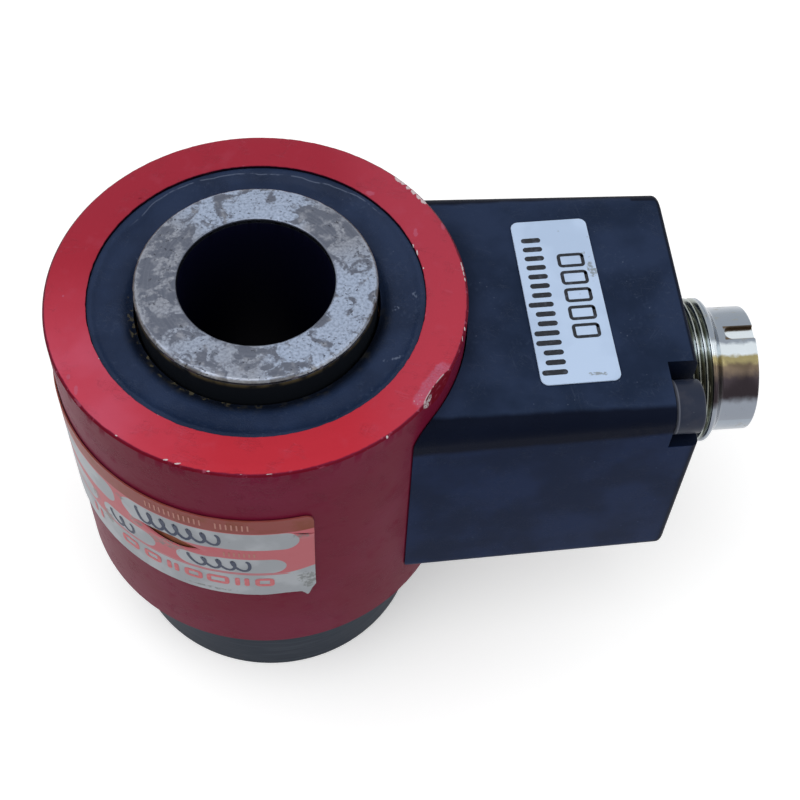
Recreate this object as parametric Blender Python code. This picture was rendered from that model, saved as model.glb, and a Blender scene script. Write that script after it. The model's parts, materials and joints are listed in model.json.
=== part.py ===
"""Ring-shaped force sensor with a moulded connection box and a round plug connector.

A turned steel measuring body carries four strain gauges on its column. A red housing closes the
column in, a black box on its side holds the wiring board, and a connector leaves the box's end.
The bore axis runs along +Z, the box and connector point along +X, and the foot stands on z = 0.
The origin lies under the middle of the whole sensor. All lengths are in metres.
"""

import math

import bmesh
import bpy
from mathutils import Vector

MM = 0.001

# Fits between neighbouring pieces
FIT_GAP = 0.3 * MM
THIN_GAP = 0.15 * MM
LABEL_GAP = 0.1 * MM
WELD = 0.0001 * MM

# Measuring body
BORE_RADIUS = 7.75 * MM
FOOT_HEIGHT = 14.8 * MM
FLANGE_ENTRY = 7.0 * MM
COLUMN_WALL = 2.45 * MM
COLUMN_FILLET = 1.5 * MM
LOAD_RING_WALL = 4.25 * MM
LOAD_RING_RISE = 2.05 * MM
LOAD_RING_DEPTH = 9.2 * MM
BODY_CHAMFER = 0.45 * MM

# Round housing
HOUSING_WALL = 4.25 * MM
HOUSING_FOOT_WALL = 3.4 * MM
HOUSING_HEIGHT = 36.4 * MM
HOUSING_LEDGE = 0.85 * MM
HOUSING_CHAMFER = 0.45 * MM
HOUSING_BORE_CHAMFER = 0.2 * MM
SEAL_SEAT_DEPTH = 6.5 * MM

# Dent in the top edge of the housing, struck by a round edge
DENT_ANGLE = -36.5
DENT_INSET = 0.57 * MM
DENT_DROP = 1.45 * MM
DENT_CURVE = 13.0 * MM
DENT_TOOL_LENGTH = 6.0 * MM

# Seals of the housing
SEAL_WIDTH = 4.75 * MM
SUPPORT_RING_THICKNESS = 1.2 * MM
SEAL_DISH = 0.95 * MM
SEAL_RIM_DROP = 0.35 * MM
SEAL_SLOPE_DROP = 0.8 * MM
SEAL_SLOPE_WIDTH = 1.05 * MM
SEAL_INNER_DROP = 1.5 * MM
SEAL_INNER_WIDTH = 0.85 * MM
O_RING_SECTION = 1.3 * MM
O_RING_GROOVE_DEPTH = 1.3 * MM
O_RING_GROOVE_RISE = 2.2 * MM

# Strain gauges and their ring board
GAUGE_COUNT = 4
GAUGE_FIRST_ANGLE = 45.0
GAUGE_WIDTH = 8.0 * MM
GAUGE_HEIGHT = 9.0 * MM
GAUGE_THICKNESS = 0.3 * MM
GAUGE_TAB_RISE = 1.1 * MM
RING_BOARD_WIDTH = 3.2 * MM
RING_BOARD_THICKNESS = 1.0 * MM
LEAD_RADIUS = 0.3 * MM
LEAD_LANDING = 1.05 * MM
LEAD_SLOPE = 1.8 * MM

# Connection box
BOX_LENGTH = 22.7 * MM
BOX_TOP_DROP = 3.8 * MM
NUT_CLEARANCE = 0.7 * MM
POST_ANGLE = 43.8
BOX_EDGE_RADIUS = 2.2 * MM
BOX_FLARE_ANGLE = 1.88
BOX_END_ROUND = 0.7 * MM
BOX_WALL = 2.2 * MM
BOX_END_WALL = 2.5 * MM
BOX_BLANK_START = 10.5 * MM
GASKET_THICKNESS = 0.5 * MM
GASKET_INSET = 1.2 * MM
GASKET_SIDE_INSET = 0.6 * MM

# Corner pockets and cap screws
POCKET_SIZE = 6.2 * MM
POCKET_DEPTH = 3.2 * MM
POCKET_ROUND = 0.9 * MM
POST_WALL = 1.0 * MM
SCREW_SIDE_INSET = 2.9 * MM
SCREW_TOP_INSET = 3.35 * MM
SCREW_RADIUS = 1.5 * MM
SCREW_HEAD_RADIUS = 2.75 * MM
SCREW_HEAD_HEIGHT = 3.0 * MM
SCREW_HEAD_ROUND = 0.35 * MM
SCREW_HEAD_BASE_BEVEL = 0.12 * MM
SCREW_TIP_BEVEL = 0.4 * MM
SCREW_SOCKET_WIDTH = 2.5 * MM
SCREW_SOCKET_DEPTH = 1.6 * MM
SCREW_ENGAGEMENT = 2.7 * MM

# Terminal board in the box
BOARD_THICKNESS = 1.2 * MM
GUIDE_DEPTH = 1.2 * MM
GUIDE_THICKNESS = 1.0 * MM
BOARD_END_CLEARANCE = 1.5 * MM
RESISTOR_COUNT = 3
RESISTOR_RADIUS = 0.9 * MM
RESISTOR_LENGTH = 5.0 * MM
RESISTOR_BEVEL = 0.35 * MM
RESISTOR_PITCH = 2.15 * MM

# Connector
THREAD_RADIUS = 7.98 * MM
THREAD_LENGTH = 4.2 * MM
SHOULDER_LENGTH = 1.25 * MM
SLEEVE_RADIUS = 6.84 * MM
SLEEVE_WALL = 0.9 * MM
CONNECTOR_REACH = 9.3 * MM
SLEEVE_RIM_CHAMFER = 0.25 * MM
SOCKET_DEPTH = 6.0 * MM
SHELL_STEP = 0.45 * MM
SHELL_TAIL = 1.5 * MM
KEYWAY_LENGTH = 3.3 * MM
KEYWAY_WIDTH = 1.7 * MM
KEYWAY_DEPTH = 0.55 * MM
SEAL_WASHER_THICKNESS = 0.8 * MM
SEAL_WASHER_WIDTH = 1.9 * MM
NUT_WALL = 1.2 * MM
NUT_THICKNESS = 2.5 * MM
NUT_SIDES = 6
INSULATOR_NOSE = 0.9 * MM
INSULATOR_LENGTH = 8.0 * MM
PIN_COUNT = 6
PIN_RADIUS = 0.5 * MM
PIN_CIRCLE_RADIUS = 3.9 * MM
PIN_LENGTH = 4.2 * MM
PIN_CUP_RADIUS = 0.9 * MM
PIN_CUP_LENGTH = 2.0 * MM
PIN_TIP_BEVEL = 0.25 * MM
WIRE_RADIUS = 0.4 * MM
WIRE_SETBACK = 1.3 * MM
WIRE_SETBACK_SPREAD = 3.2 * MM
WIRE_LIFT_SHARE = 0.6
WIRE_LEAN_SHARE = 0.12
WIRE_CREST_SHARE = 0.5

# Wiring hole in the housing wall, its bush and the cable through it
PORT_RADIUS = 3.0 * MM
GROMMET_FLANGE = 1.1 * MM
GROMMET_FLANGE_THICKNESS = 0.8 * MM
GROMMET_SETBACK = 0.5 * MM
CABLE_RADIUS = 0.8 * MM
CABLE_BEND = 3.2 * MM

# Labels
SERIAL_LABEL_WIDTH = 8.1 * MM
SERIAL_LABEL_LENGTH = 20.8 * MM
SERIAL_LABEL_CORNER = 0.8 * MM
SERIAL_LABEL_FROM_END = 12.45 * MM
SERIAL_LABEL_TILT = 1.4
LABEL_THICKNESS = 0.15 * MM
RATING_LABEL_HEIGHT = 15.9 * MM
RATING_LABEL_LENGTH = 36.0 * MM
RATING_LABEL_DROP = 8.3 * MM
RATING_LABEL_EDGE_ANGLE = -78.3

# Facets
HOUSING_STEPS = 80
SEAT_STEPS = 18
BODY_STEPS = 64
RING_STEPS = 40
CONNECTOR_STEPS = 40
HOLE_STEPS = 16
SCREW_STEPS = 20
PIN_STEPS = 10
FILLET_STEPS = 3
CORNER_STEPS = 4
GAUGE_STEPS = 4
BEND_STEPS = 5
KEYWAY_STEPS = 6
WIRE_STEPS = 2
LEAD_STEPS = 3
LABEL_STEPS = 22
SMOOTH_ANGLE = math.radians(35)

# Section of the box: its screw posts stand clear of the nut, each outside its corner pocket
POST_REACH = THREAD_RADIUS + FIT_GAP + NUT_WALL + NUT_CLEARANCE
POST_ACROSS = POST_REACH * math.cos(math.radians(POST_ANGLE))
POST_UP = POST_REACH * math.sin(math.radians(POST_ANGLE))
BOX_WIDTH = 2 * (POST_ACROSS + POST_WALL + POCKET_SIZE)
BOX_HEIGHT = 2 * (POST_UP + POST_WALL + POCKET_SIZE)

# Heights above the foot
HOUSING_BOTTOM = FOOT_HEIGHT
HOUSING_TOP = HOUSING_BOTTOM + HOUSING_HEIGHT
BODY_TOP = HOUSING_TOP + LOAD_RING_RISE
FLANGE_TOP = HOUSING_BOTTOM + FLANGE_ENTRY
SEAT_HEIGHT = HOUSING_TOP - SEAL_SEAT_DEPTH
LOAD_RING_BOTTOM = BODY_TOP - LOAD_RING_DEPTH
BOX_TOP = HOUSING_TOP - BOX_TOP_DROP
BOX_BOTTOM = BOX_TOP - BOX_HEIGHT
BOX_MIDDLE = (BOX_TOP + BOX_BOTTOM) / 2

# Radii from the bore outwards, and those that follow from the fits
COLUMN_RADIUS = BORE_RADIUS + COLUMN_WALL
LOAD_RING_RADIUS = BORE_RADIUS + LOAD_RING_WALL
HOUSING_TOP_BORE = LOAD_RING_RADIUS + SEAL_WIDTH
HOUSING_RADIUS = HOUSING_TOP_BORE + HOUSING_WALL
HOUSING_MID_BORE = HOUSING_TOP_BORE - HOUSING_LEDGE
HOUSING_FOOT_BORE = HOUSING_RADIUS - HOUSING_FOOT_WALL
FOOT_RADIUS = HOUSING_FOOT_BORE - FIT_GAP
GASKET_INNER = HOUSING_RADIUS + THIN_GAP
GASKET_OUTER = GASKET_INNER + GASKET_THICKNESS
SADDLE_RADIUS = GASKET_OUTER + THIN_GAP
WING_RADIUS = HOUSING_RADIUS + THIN_GAP
GAUGE_INNER = COLUMN_RADIUS + THIN_GAP
GAUGE_OUTER = GAUGE_INNER + GAUGE_THICKNESS
RING_BOARD_INNER = COLUMN_RADIUS + COLUMN_FILLET + FIT_GAP
RING_BOARD_OUTER = RING_BOARD_INNER + RING_BOARD_WIDTH
RING_BOARD_TOP = FLANGE_TOP + FIT_GAP + RING_BOARD_THICKNESS

# Places along X, from the bore axis
BOX_END = HOUSING_RADIUS + BOX_LENGTH
BOX_INNER_END = BOX_END - BOX_END_WALL
POCKET_FLOOR = BOX_END - POCKET_DEPTH
CONNECTOR_END = BOX_END + CONNECTOR_REACH
WASHER_FRONT = BOX_INNER_END - FIT_GAP
WASHER_BACK = WASHER_FRONT - SEAL_WASHER_THICKNESS
NUT_FRONT = WASHER_BACK - FIT_GAP
NUT_BACK = NUT_FRONT - NUT_THICKNESS
SHELL_BACK = NUT_BACK - SHELL_TAIL
SOCKET_FLOOR = CONNECTOR_END - SOCKET_DEPTH
INSULATOR_FACE = SOCKET_FLOOR + INSULATOR_NOSE
INSULATOR_BACK = SOCKET_FLOOR - INSULATOR_LENGTH
CUP_FRONT = INSULATOR_BACK - FIT_GAP
CUP_BACK = CUP_FRONT - PIN_CUP_LENGTH
BOARD_START = SADDLE_RADIUS + BOARD_END_CLEARANCE
BOARD_STOP = SHELL_BACK - BOARD_END_CLEARANCE

# Screw axes, measured from the middle of the box's section
SCREW_ACROSS = BOX_WIDTH / 2 - SCREW_SIDE_INSET
SCREW_UP = BOX_HEIGHT / 2 - SCREW_TOP_INSET
POST_SIZE = POCKET_SIZE + POST_WALL - BOX_WALL
LEDGE_LEVEL = -BOX_HEIGHT / 2 + BOX_WALL + POST_SIZE
BOARD_TOP = BOX_MIDDLE + LEDGE_LEVEL + FIT_GAP + BOARD_THICKNESS

# The whole sensor's middle along X, seen from the bore axis
MIDDLE_FROM_BORE = (CONNECTOR_END - HOUSING_RADIUS) / 2

# Turns that lay a piece's own Z along +X, with its own X along +Y for the extruded ones
ALONG_X = (0.0, math.pi / 2, 0.0)
FACING_X = (math.pi / 2, 0.0, math.pi / 2)


def clear_scene():
    """Remove every object that is already there."""
    for old in list(bpy.data.objects):
        bpy.data.objects.remove(old, do_unlink=True)


def finish(name, colour, roughness, metallic):
    """Make a plain surface finish."""
    made = bpy.data.materials.new(name)
    made.use_nodes = True
    shader = made.node_tree.nodes["Principled BSDF"]
    shader.inputs["Base Color"].default_value = (*colour, 1.0)
    shader.inputs["Roughness"].default_value = roughness
    shader.inputs["Metallic"].default_value = metallic
    return made


def place(name, data, surface, spot, turn):
    """Put mesh or curve data into the scene, measured from the bore axis."""
    placed = bpy.data.objects.new(name, data)
    bpy.context.collection.objects.link(placed)
    placed.parent = bpy.data.objects["bore_axis"]
    placed.location = spot
    placed.rotation_euler = turn
    if surface:
        data.materials.append(surface)
    return placed


def close_mesh(name, shape, surface, spot, turn):
    """Turn a closed bmesh into an object with smooth round sides."""
    bmesh.ops.recalc_face_normals(shape, faces=shape.faces)
    mesh = bpy.data.meshes.new(name)
    shape.to_mesh(mesh)
    shape.free()
    mesh.shade_smooth()
    mesh.set_sharp_from_angle(angle=SMOOTH_ANGLE)
    return place(name, mesh, surface, spot, turn)


def turned(name, profile, steps, surface=None, spot=(0, 0, 0), turn=(0, 0, 0)):
    """Spin a profile of (radius, height) points round its own Z."""
    shape = bmesh.new()
    corners = [shape.verts.new((radius, 0, height)) for radius, height in profile]
    edges = [shape.edges.new(pair) for pair in zip(corners, corners[1:])]
    if profile[0][0] > 0 or profile[-1][0] > 0:
        edges.append(shape.edges.new((corners[-1], corners[0])))
    bmesh.ops.spin(
        shape,
        geom=corners + edges,
        axis=(0, 0, 1),
        cent=(0, 0, 0),
        angle=math.tau,
        steps=steps,
        use_merge=True,
    )
    bmesh.ops.remove_doubles(shape, verts=shape.verts, dist=WELD)
    return close_mesh(name, shape, surface, spot, turn)


def extruded(name, outline, depth, surface=None, spot=(0, 0, 0), turn=(0, 0, 0), end_round=0.0):
    """Raise a flat outline along its own Z, with its far edges rounded if asked."""
    shape = bmesh.new()
    face = shape.faces.new([shape.verts.new((x, y, 0)) for x, y in outline])
    raised = bmesh.ops.extrude_face_region(shape, geom=[face])["geom"]
    moved = [item for item in raised if isinstance(item, bmesh.types.BMVert)]
    bmesh.ops.translate(shape, verts=moved, vec=(0, 0, depth))
    if end_round > 0:
        far = [edge for edge in shape.edges if all(v.co.z > depth / 2 for v in edge.verts)]
        bmesh.ops.bevel(shape, geom=far, offset=end_round, segments=2, profile=0.5, affect="EDGES")
    return close_mesh(name, shape, surface, spot, turn)


def tube(name, route, radius, surface):
    """Lay a round wire along a route."""
    line = bpy.data.curves.new(name, "CURVE")
    line.dimensions = "3D"
    spline = line.splines.new("POLY")
    spline.points.add(len(route) - 1)
    for point, spot in zip(spline.points, route):
        point.co = (*spot, 1.0)
    line.bevel_depth = radius
    line.bevel_resolution = 2
    line.use_fill_caps = True
    return place(name, line, surface, (0, 0, 0), (0, 0, 0))


def carve(target, tool, operation="DIFFERENCE"):
    """Cut a target with a tool, or keep only what lies in it, and hide the tool."""
    step = target.modifiers.new(tool.name, "BOOLEAN")
    step.operation = operation
    step.object = tool
    step.solver = "EXACT"
    tool.hide_render = True
    tool.display_type = "WIRE"


def arc(centre, radius, start, stop, steps):
    """Points along an arc, angles in degrees, both ends included."""
    points = []
    for step in range(steps + 1):
        angle = math.radians(start + (stop - start) * step / steps)
        points.append((centre[0] + radius * math.cos(angle), centre[1] + radius * math.sin(angle)))
    return points


def rounded_rectangle(width, height, radius, steps=CORNER_STEPS):
    """Outline of a rectangle round the origin with rounded corners."""
    across = width / 2 - radius
    up = height / 2 - radius
    centres = ((across, up), (-across, up), (-across, -up), (across, -up))
    outline = []
    for quarter, centre in enumerate(centres):
        outline += arc(centre, radius, quarter * 90, quarter * 90 + 90, steps)
    return outline


def polygon(radius, sides, first=0.0):
    """Outline of a regular polygon by its corner radius."""
    return arc((0, 0), radius, first, first + 360 * (sides - 1) / sides, sides - 1)


def ring_profile(inner, outer, low, high):
    """Rectangular section of a plain ring."""
    return [(outer, high), (inner, high), (inner, low), (outer, low)]


def smooth_route(points, steps=WIRE_STEPS):
    """Read points from one smooth curve through the given ones, with no overshoot."""
    marks = [Vector(point) for point in points]
    padded = [2 * marks[0] - marks[1], *marks, 2 * marks[-1] - marks[-2]]
    route = []
    for a, b, c, d in zip(padded, padded[1:], padded[2:], padded[3:]):
        at_b = math.sqrt((b - a).length)
        at_c = at_b + math.sqrt((c - b).length)
        at_d = at_c + math.sqrt((d - c).length)
        for step in range(steps):
            t = at_b + (at_c - at_b) * step / steps
            near = a.lerp(b, t / at_b)
            middle = b.lerp(c, (t - at_b) / (at_c - at_b))
            far = c.lerp(d, (t - at_c) / (at_d - at_c))
            early = near.lerp(middle, t / at_c)
            late = middle.lerp(far, (t - at_b) / (at_d - at_b))
            route.append(early.lerp(late, (t - at_b) / (at_c - at_b)))
    route.append(marks[-1])
    return route


def section_round(centre, radius, sides=6):
    """Round section of a ring, as a polygon."""
    return [
        (centre[0] + radius * math.cos(math.tau * side / sides),
         centre[1] + radius * math.sin(math.tau * side / sides))
        for side in range(sides)
    ]


def x_hole(name, radius, start, stop, across=0.0, height=0.0, steps=HOLE_STEPS):
    """Round cutter along X between two places."""
    profile = [(0, stop - start), (radius, stop - start), (radius, 0), (0, 0)]
    return turned(name, profile, steps, spot=(start, across, height), turn=ALONG_X)


def screw_places():
    """Both screw axes as (across, height): upper front corner and lower back corner."""
    return (
        (-SCREW_ACROSS, BOX_MIDDLE + SCREW_UP),
        (SCREW_ACROSS, BOX_MIDDLE - SCREW_UP),
    )


def screw_tip():
    """Where a screw ends inside the housing wall."""
    surface = math.sqrt(HOUSING_RADIUS**2 - SCREW_ACROSS**2)
    return surface - SCREW_ENGAGEMENT


def build_housing(red):
    """Red round housing with its two inner steps, the wiring hole and the tapped screw holes."""
    shoulder = FLANGE_TOP + FIT_GAP
    bevel = HOUSING_CHAMFER
    inner_bevel = HOUSING_BORE_CHAMFER
    profile = [
        (HOUSING_RADIUS, HOUSING_TOP - bevel),
        (HOUSING_RADIUS - bevel, HOUSING_TOP),
        (HOUSING_TOP_BORE + inner_bevel, HOUSING_TOP),
        (HOUSING_TOP_BORE, HOUSING_TOP - inner_bevel),
        (HOUSING_TOP_BORE, SEAT_HEIGHT),
        (HOUSING_MID_BORE, SEAT_HEIGHT),
        (HOUSING_MID_BORE, shoulder),
        (HOUSING_FOOT_BORE, shoulder),
        (HOUSING_FOOT_BORE, HOUSING_BOTTOM),
        (HOUSING_RADIUS - bevel, HOUSING_BOTTOM),
        (HOUSING_RADIUS, HOUSING_BOTTOM + bevel),
    ]
    housing = turned("outer_housing", profile, HOUSING_STEPS, red)
    reach = HOUSING_RADIUS + FIT_GAP
    carve(housing, x_hole("port_tool", PORT_RADIUS, COLUMN_RADIUS, reach, 0, BOX_MIDDLE))
    for number, (across, height) in enumerate(screw_places(), 1):
        tool = x_hole(
            f"tapping_tool_{number}", SCREW_RADIUS + FIT_GAP, screw_tip() - FIT_GAP, reach, across, height
        )
        carve(housing, tool)
    carve(housing, dent_tool())


def dent_tool():
    """Round cutter that leans along the dent's slope and cuts through the top edge."""
    turn = math.radians(DENT_ANGLE)
    slope = Vector((DENT_INSET, 0, -DENT_DROP)).normalized()
    outward = Vector((-slope.z, 0, slope.x))
    middle = Vector((HOUSING_RADIUS - DENT_INSET / 2, 0, HOUSING_TOP - DENT_DROP / 2))
    start = middle + outward * DENT_CURVE - slope * DENT_TOOL_LENGTH / 2
    spot = (start.x * math.cos(turn), start.x * math.sin(turn), start.z)
    profile = [(0, DENT_TOOL_LENGTH), (DENT_CURVE, DENT_TOOL_LENGTH), (DENT_CURVE, 0), (0, 0)]
    lean = math.atan2(slope.x, slope.z)
    return turned("dent_tool", profile, HOUSING_STEPS, spot=spot, turn=(0, lean, turn))


def build_measuring_body(steel):
    """One turned steel piece: foot, flange with seal groove, gauge column and load ring."""
    groove_low = HOUSING_BOTTOM + O_RING_GROOVE_RISE
    groove_high = groove_low + O_RING_SECTION + 2 * FIT_GAP
    groove_floor = FOOT_RADIUS - O_RING_GROOVE_DEPTH
    bevel = BODY_CHAMFER
    foot_fillet = arc(
        (COLUMN_RADIUS + COLUMN_FILLET, FLANGE_TOP + COLUMN_FILLET), COLUMN_FILLET, 270, 180, FILLET_STEPS
    )
    profile = [
        (FOOT_RADIUS - bevel, 0),
        (FOOT_RADIUS, bevel),
        (FOOT_RADIUS, groove_low),
        (groove_floor, groove_low),
        (groove_floor, groove_high),
        (FOOT_RADIUS, groove_high),
        (FOOT_RADIUS, FLANGE_TOP),
        *foot_fillet,
        (COLUMN_RADIUS, LOAD_RING_BOTTOM - (LOAD_RING_RADIUS - COLUMN_RADIUS)),
        (LOAD_RING_RADIUS, LOAD_RING_BOTTOM),
        (LOAD_RING_RADIUS, BODY_TOP - bevel),
        (LOAD_RING_RADIUS - bevel, BODY_TOP),
        (BORE_RADIUS + bevel, BODY_TOP),
        (BORE_RADIUS, BODY_TOP - bevel),
        (BORE_RADIUS, bevel),
        (BORE_RADIUS + bevel, 0),
    ]
    turned("measuring_body", profile, BODY_STEPS, steel)


def build_seals(sealing, fibre, rubber):
    """Sealing compound on its support ring, and the ring seal round the flange."""
    inner = LOAD_RING_RADIUS + FIT_GAP
    outer = HOUSING_TOP_BORE - FIT_GAP
    ring_low = SEAT_HEIGHT + FIT_GAP
    ring_high = ring_low + SUPPORT_RING_THICKNESS
    turned("seal_support_ring", ring_profile(inner, outer, ring_low, ring_high), RING_STEPS, fibre)
    seal_low = ring_high + FIT_GAP
    dished = [
        (outer, HOUSING_TOP - SEAL_RIM_DROP),
        (outer - SEAL_SLOPE_WIDTH, HOUSING_TOP - SEAL_SLOPE_DROP),
        ((outer + inner) / 2, HOUSING_TOP - SEAL_DISH),
        (inner + SEAL_INNER_WIDTH, HOUSING_TOP - SEAL_DISH),
        (inner, HOUSING_TOP - SEAL_INNER_DROP),
        (inner, seal_low),
        (outer, seal_low),
    ]
    turned("top_seal", dished, BODY_STEPS, sealing)
    groove_middle = HOUSING_BOTTOM + O_RING_GROOVE_RISE + FIT_GAP + O_RING_SECTION / 2
    ring_centre = (FOOT_RADIUS - O_RING_GROOVE_DEPTH + HOUSING_FOOT_BORE) / 2
    section = section_round((ring_centre, groove_middle), O_RING_SECTION / 2)
    turned("lower_o_ring", section, RING_STEPS, rubber)


def build_gauges(foil, board_green, wire_red):
    """Four bonded gauges, the ring board on the flange and one lead from each gauge to it."""
    half_angle = math.degrees(GAUGE_WIDTH / 2 / GAUGE_OUTER)
    gauge_low = (FLANGE_TOP + LOAD_RING_BOTTOM - GAUGE_HEIGHT) / 2
    low = FLANGE_TOP + FIT_GAP
    profile = ring_profile(RING_BOARD_INNER, RING_BOARD_OUTER, low, RING_BOARD_TOP)
    turned("gauge_ring_board", profile, RING_STEPS, board_green)
    for number in range(1, GAUGE_COUNT + 1):
        angle = GAUGE_FIRST_ANGLE + (number - 1) * 360 / GAUGE_COUNT
        outline = arc((0, 0), GAUGE_OUTER, angle - half_angle, angle + half_angle, GAUGE_STEPS)
        outline += arc((0, 0), GAUGE_INNER, angle + half_angle, angle - half_angle, GAUGE_STEPS)
        extruded(f"strain_gauge_{number}", outline, GAUGE_HEIGHT, foil, spot=(0, 0, gauge_low))
        tab = gauge_low + GAUGE_TAB_RISE
        landing = RING_BOARD_INNER + LEAD_LANDING
        stations = [
            (GAUGE_OUTER + THIN_GAP, tab),
            (GAUGE_OUTER + THIN_GAP + LEAD_RADIUS, tab),
            (landing, tab - LEAD_SLOPE),
            (landing, RING_BOARD_TOP + FIT_GAP + LEAD_RADIUS),
            (landing, RING_BOARD_TOP + FIT_GAP),
        ]
        turn = math.radians(angle)
        route = [(radius * math.cos(turn), radius * math.sin(turn), z) for radius, z in stations]
        tube(f"gauge_lead_{number}", smooth_route(route, LEAD_STEPS), LEAD_RADIUS, wire_red)


def build_cable_entry(rubber, grey):
    """Bush in the wiring hole and the bridge cable from the ring board to the terminal board."""
    back = HOUSING_MID_BORE + GROMMET_SETBACK
    flange_back = HOUSING_RADIUS + FIT_GAP
    flange_front = flange_back + GROMMET_FLANGE_THICKNESS
    body = PORT_RADIUS - FIT_GAP
    bore = CABLE_RADIUS + FIT_GAP
    profile = [
        (body + GROMMET_FLANGE, flange_front - back),
        (bore, flange_front - back),
        (bore, 0),
        (body, 0),
        (body, flange_back - back),
        (body + GROMMET_FLANGE, flange_back - back),
    ]
    turned("wire_grommet", profile, HOLE_STEPS, rubber, spot=(back, 0, BOX_MIDDLE), turn=ALONG_X)
    riser = RING_BOARD_INNER + RING_BOARD_WIDTH / 2
    drop = BOARD_START + CABLE_BEND
    climb = arc((riser + CABLE_BEND, BOX_MIDDLE - CABLE_BEND), CABLE_BEND, 180, 90, BEND_STEPS)
    descent = arc((drop - CABLE_BEND, BOX_MIDDLE - CABLE_BEND), CABLE_BEND, 90, 0, BEND_STEPS)
    corners = [
        (riser, RING_BOARD_TOP + FIT_GAP),
        (riser, (RING_BOARD_TOP + BOX_MIDDLE - CABLE_BEND) / 2),
        *climb,
        (HOUSING_RADIUS, BOX_MIDDLE),
        *descent,
        (drop, BOARD_TOP + FIT_GAP),
    ]
    route = [(x, 0, z) for x, z in corners]
    tube("bridge_cable", smooth_route(route), CABLE_RADIUS, grey)


def cavity_outline():
    """Inside of the box across X: screw posts in two corners and guides for the board."""
    side = BOX_WIDTH / 2 - BOX_WALL
    top = BOX_HEIGHT / 2 - BOX_WALL
    post = POST_SIZE
    ledge = LEDGE_LEVEL
    rib = ledge + 2 * FIT_GAP + BOARD_THICKNESS
    deep = side - GUIDE_DEPTH
    return [
        (-side, -top),
        (side - post, -top),
        (side - post, ledge),
        (side, ledge),
        (side, rib),
        (deep, rib),
        (deep, rib + GUIDE_THICKNESS),
        (side, rib + GUIDE_THICKNESS),
        (side, top),
        (post - side, top),
        (post - side, top - post),
        (-side, top - post),
        (-side, rib + GUIDE_THICKNESS),
        (-deep, rib + GUIDE_THICKNESS),
        (-deep, rib),
        (-side, rib),
        (-side, ledge),
        (-deep, ledge),
        (-deep, ledge - GUIDE_THICKNESS),
        (-side, ledge - GUIDE_THICKNESS),
    ]


def flare_sides(piece, depth, angle):
    """Lean the two sides of a raised outline outwards, the more the farther from its end."""
    slope = math.tan(math.radians(angle))
    for vert in piece.data.vertices:
        vert.co.x += math.copysign(slope * (depth - vert.co.z), vert.co.x)


def build_box(black, seal_grey):
    """Moulded box whose wings hug the housing, with corner pockets, and the gasket behind it."""
    middle = (0, 0, BOX_MIDDLE)
    outline = rounded_rectangle(BOX_WIDTH, BOX_HEIGHT, BOX_EDGE_RADIUS)
    start = BOX_BLANK_START
    box = extruded(
        "connector_box", outline, BOX_END - start, black,
        spot=(start, 0, BOX_MIDDLE), turn=FACING_X, end_round=BOX_END_ROUND,
    )
    flare_sides(box, BOX_END - start, BOX_FLARE_ANGLE)
    half = BOX_HEIGHT / 2 + FIT_GAP
    saddle = [(0, half), (WING_RADIUS, half), (WING_RADIUS, -half), (0, -half)]
    carve(box, turned("saddle_tool", saddle, HOUSING_STEPS, spot=middle))
    gasket_side = BOX_WIDTH / 2 - GASKET_SIDE_INSET
    side = gasket_side + FIT_GAP
    reach = math.degrees(math.asin(side / SADDLE_RADIUS))
    seat = [*arc((0, 0), SADDLE_RADIUS, -reach, reach, SEAT_STEPS), (0, side), (0, -side)]
    seat_half = BOX_HEIGHT / 2 - GASKET_INSET + FIT_GAP
    carve(box, extruded("seat_tool", seat, 2 * seat_half, spot=(0, 0, BOX_MIDDLE - seat_half)))
    cavity = extruded(
        "cavity_tool", cavity_outline(), BOX_INNER_END, spot=middle, turn=FACING_X
    )
    carve(box, cavity)
    bore = THREAD_RADIUS + FIT_GAP
    connector_hole = x_hole(
        "connector_hole_tool", bore, POCKET_FLOOR, CONNECTOR_END, 0, BOX_MIDDLE, CONNECTOR_STEPS
    )
    carve(box, connector_hole)
    pocket = rounded_rectangle(2 * POCKET_SIZE, 2 * POCKET_SIZE, POCKET_ROUND, FILLET_STEPS)
    gasket_outline = rounded_rectangle(
        2 * gasket_side, BOX_HEIGHT - 2 * GASKET_INSET, BOX_EDGE_RADIUS
    )
    gasket_high = BOX_TOP + FIT_GAP
    gasket_low = BOX_BOTTOM - FIT_GAP
    band = ring_profile(GASKET_INNER, GASKET_OUTER, gasket_low, gasket_high)
    gasket = turned("saddle_gasket", band, HOUSING_STEPS, seal_grey)
    limit = extruded("gasket_limit_tool", gasket_outline, HOUSING_RADIUS, spot=middle, turn=FACING_X)
    limit.location.x = start
    carve(gasket, limit, "INTERSECT")
    carve(gasket, cavity)
    hole = SCREW_RADIUS + FIT_GAP
    for number, (across, height) in enumerate(screw_places(), 1):
        corner = (POCKET_FLOOR, math.copysign(BOX_WIDTH / 2, across),
                  BOX_MIDDLE + math.copysign(BOX_HEIGHT / 2, height - BOX_MIDDLE))
        recess = extruded(f"pocket_tool_{number}", pocket, CONNECTOR_REACH, spot=corner, turn=FACING_X)
        carve(box, recess)
        passage = x_hole(f"passage_tool_{number}", hole, start, BOX_END, across, height)
        carve(box, passage)
        carve(gasket, passage)


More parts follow.
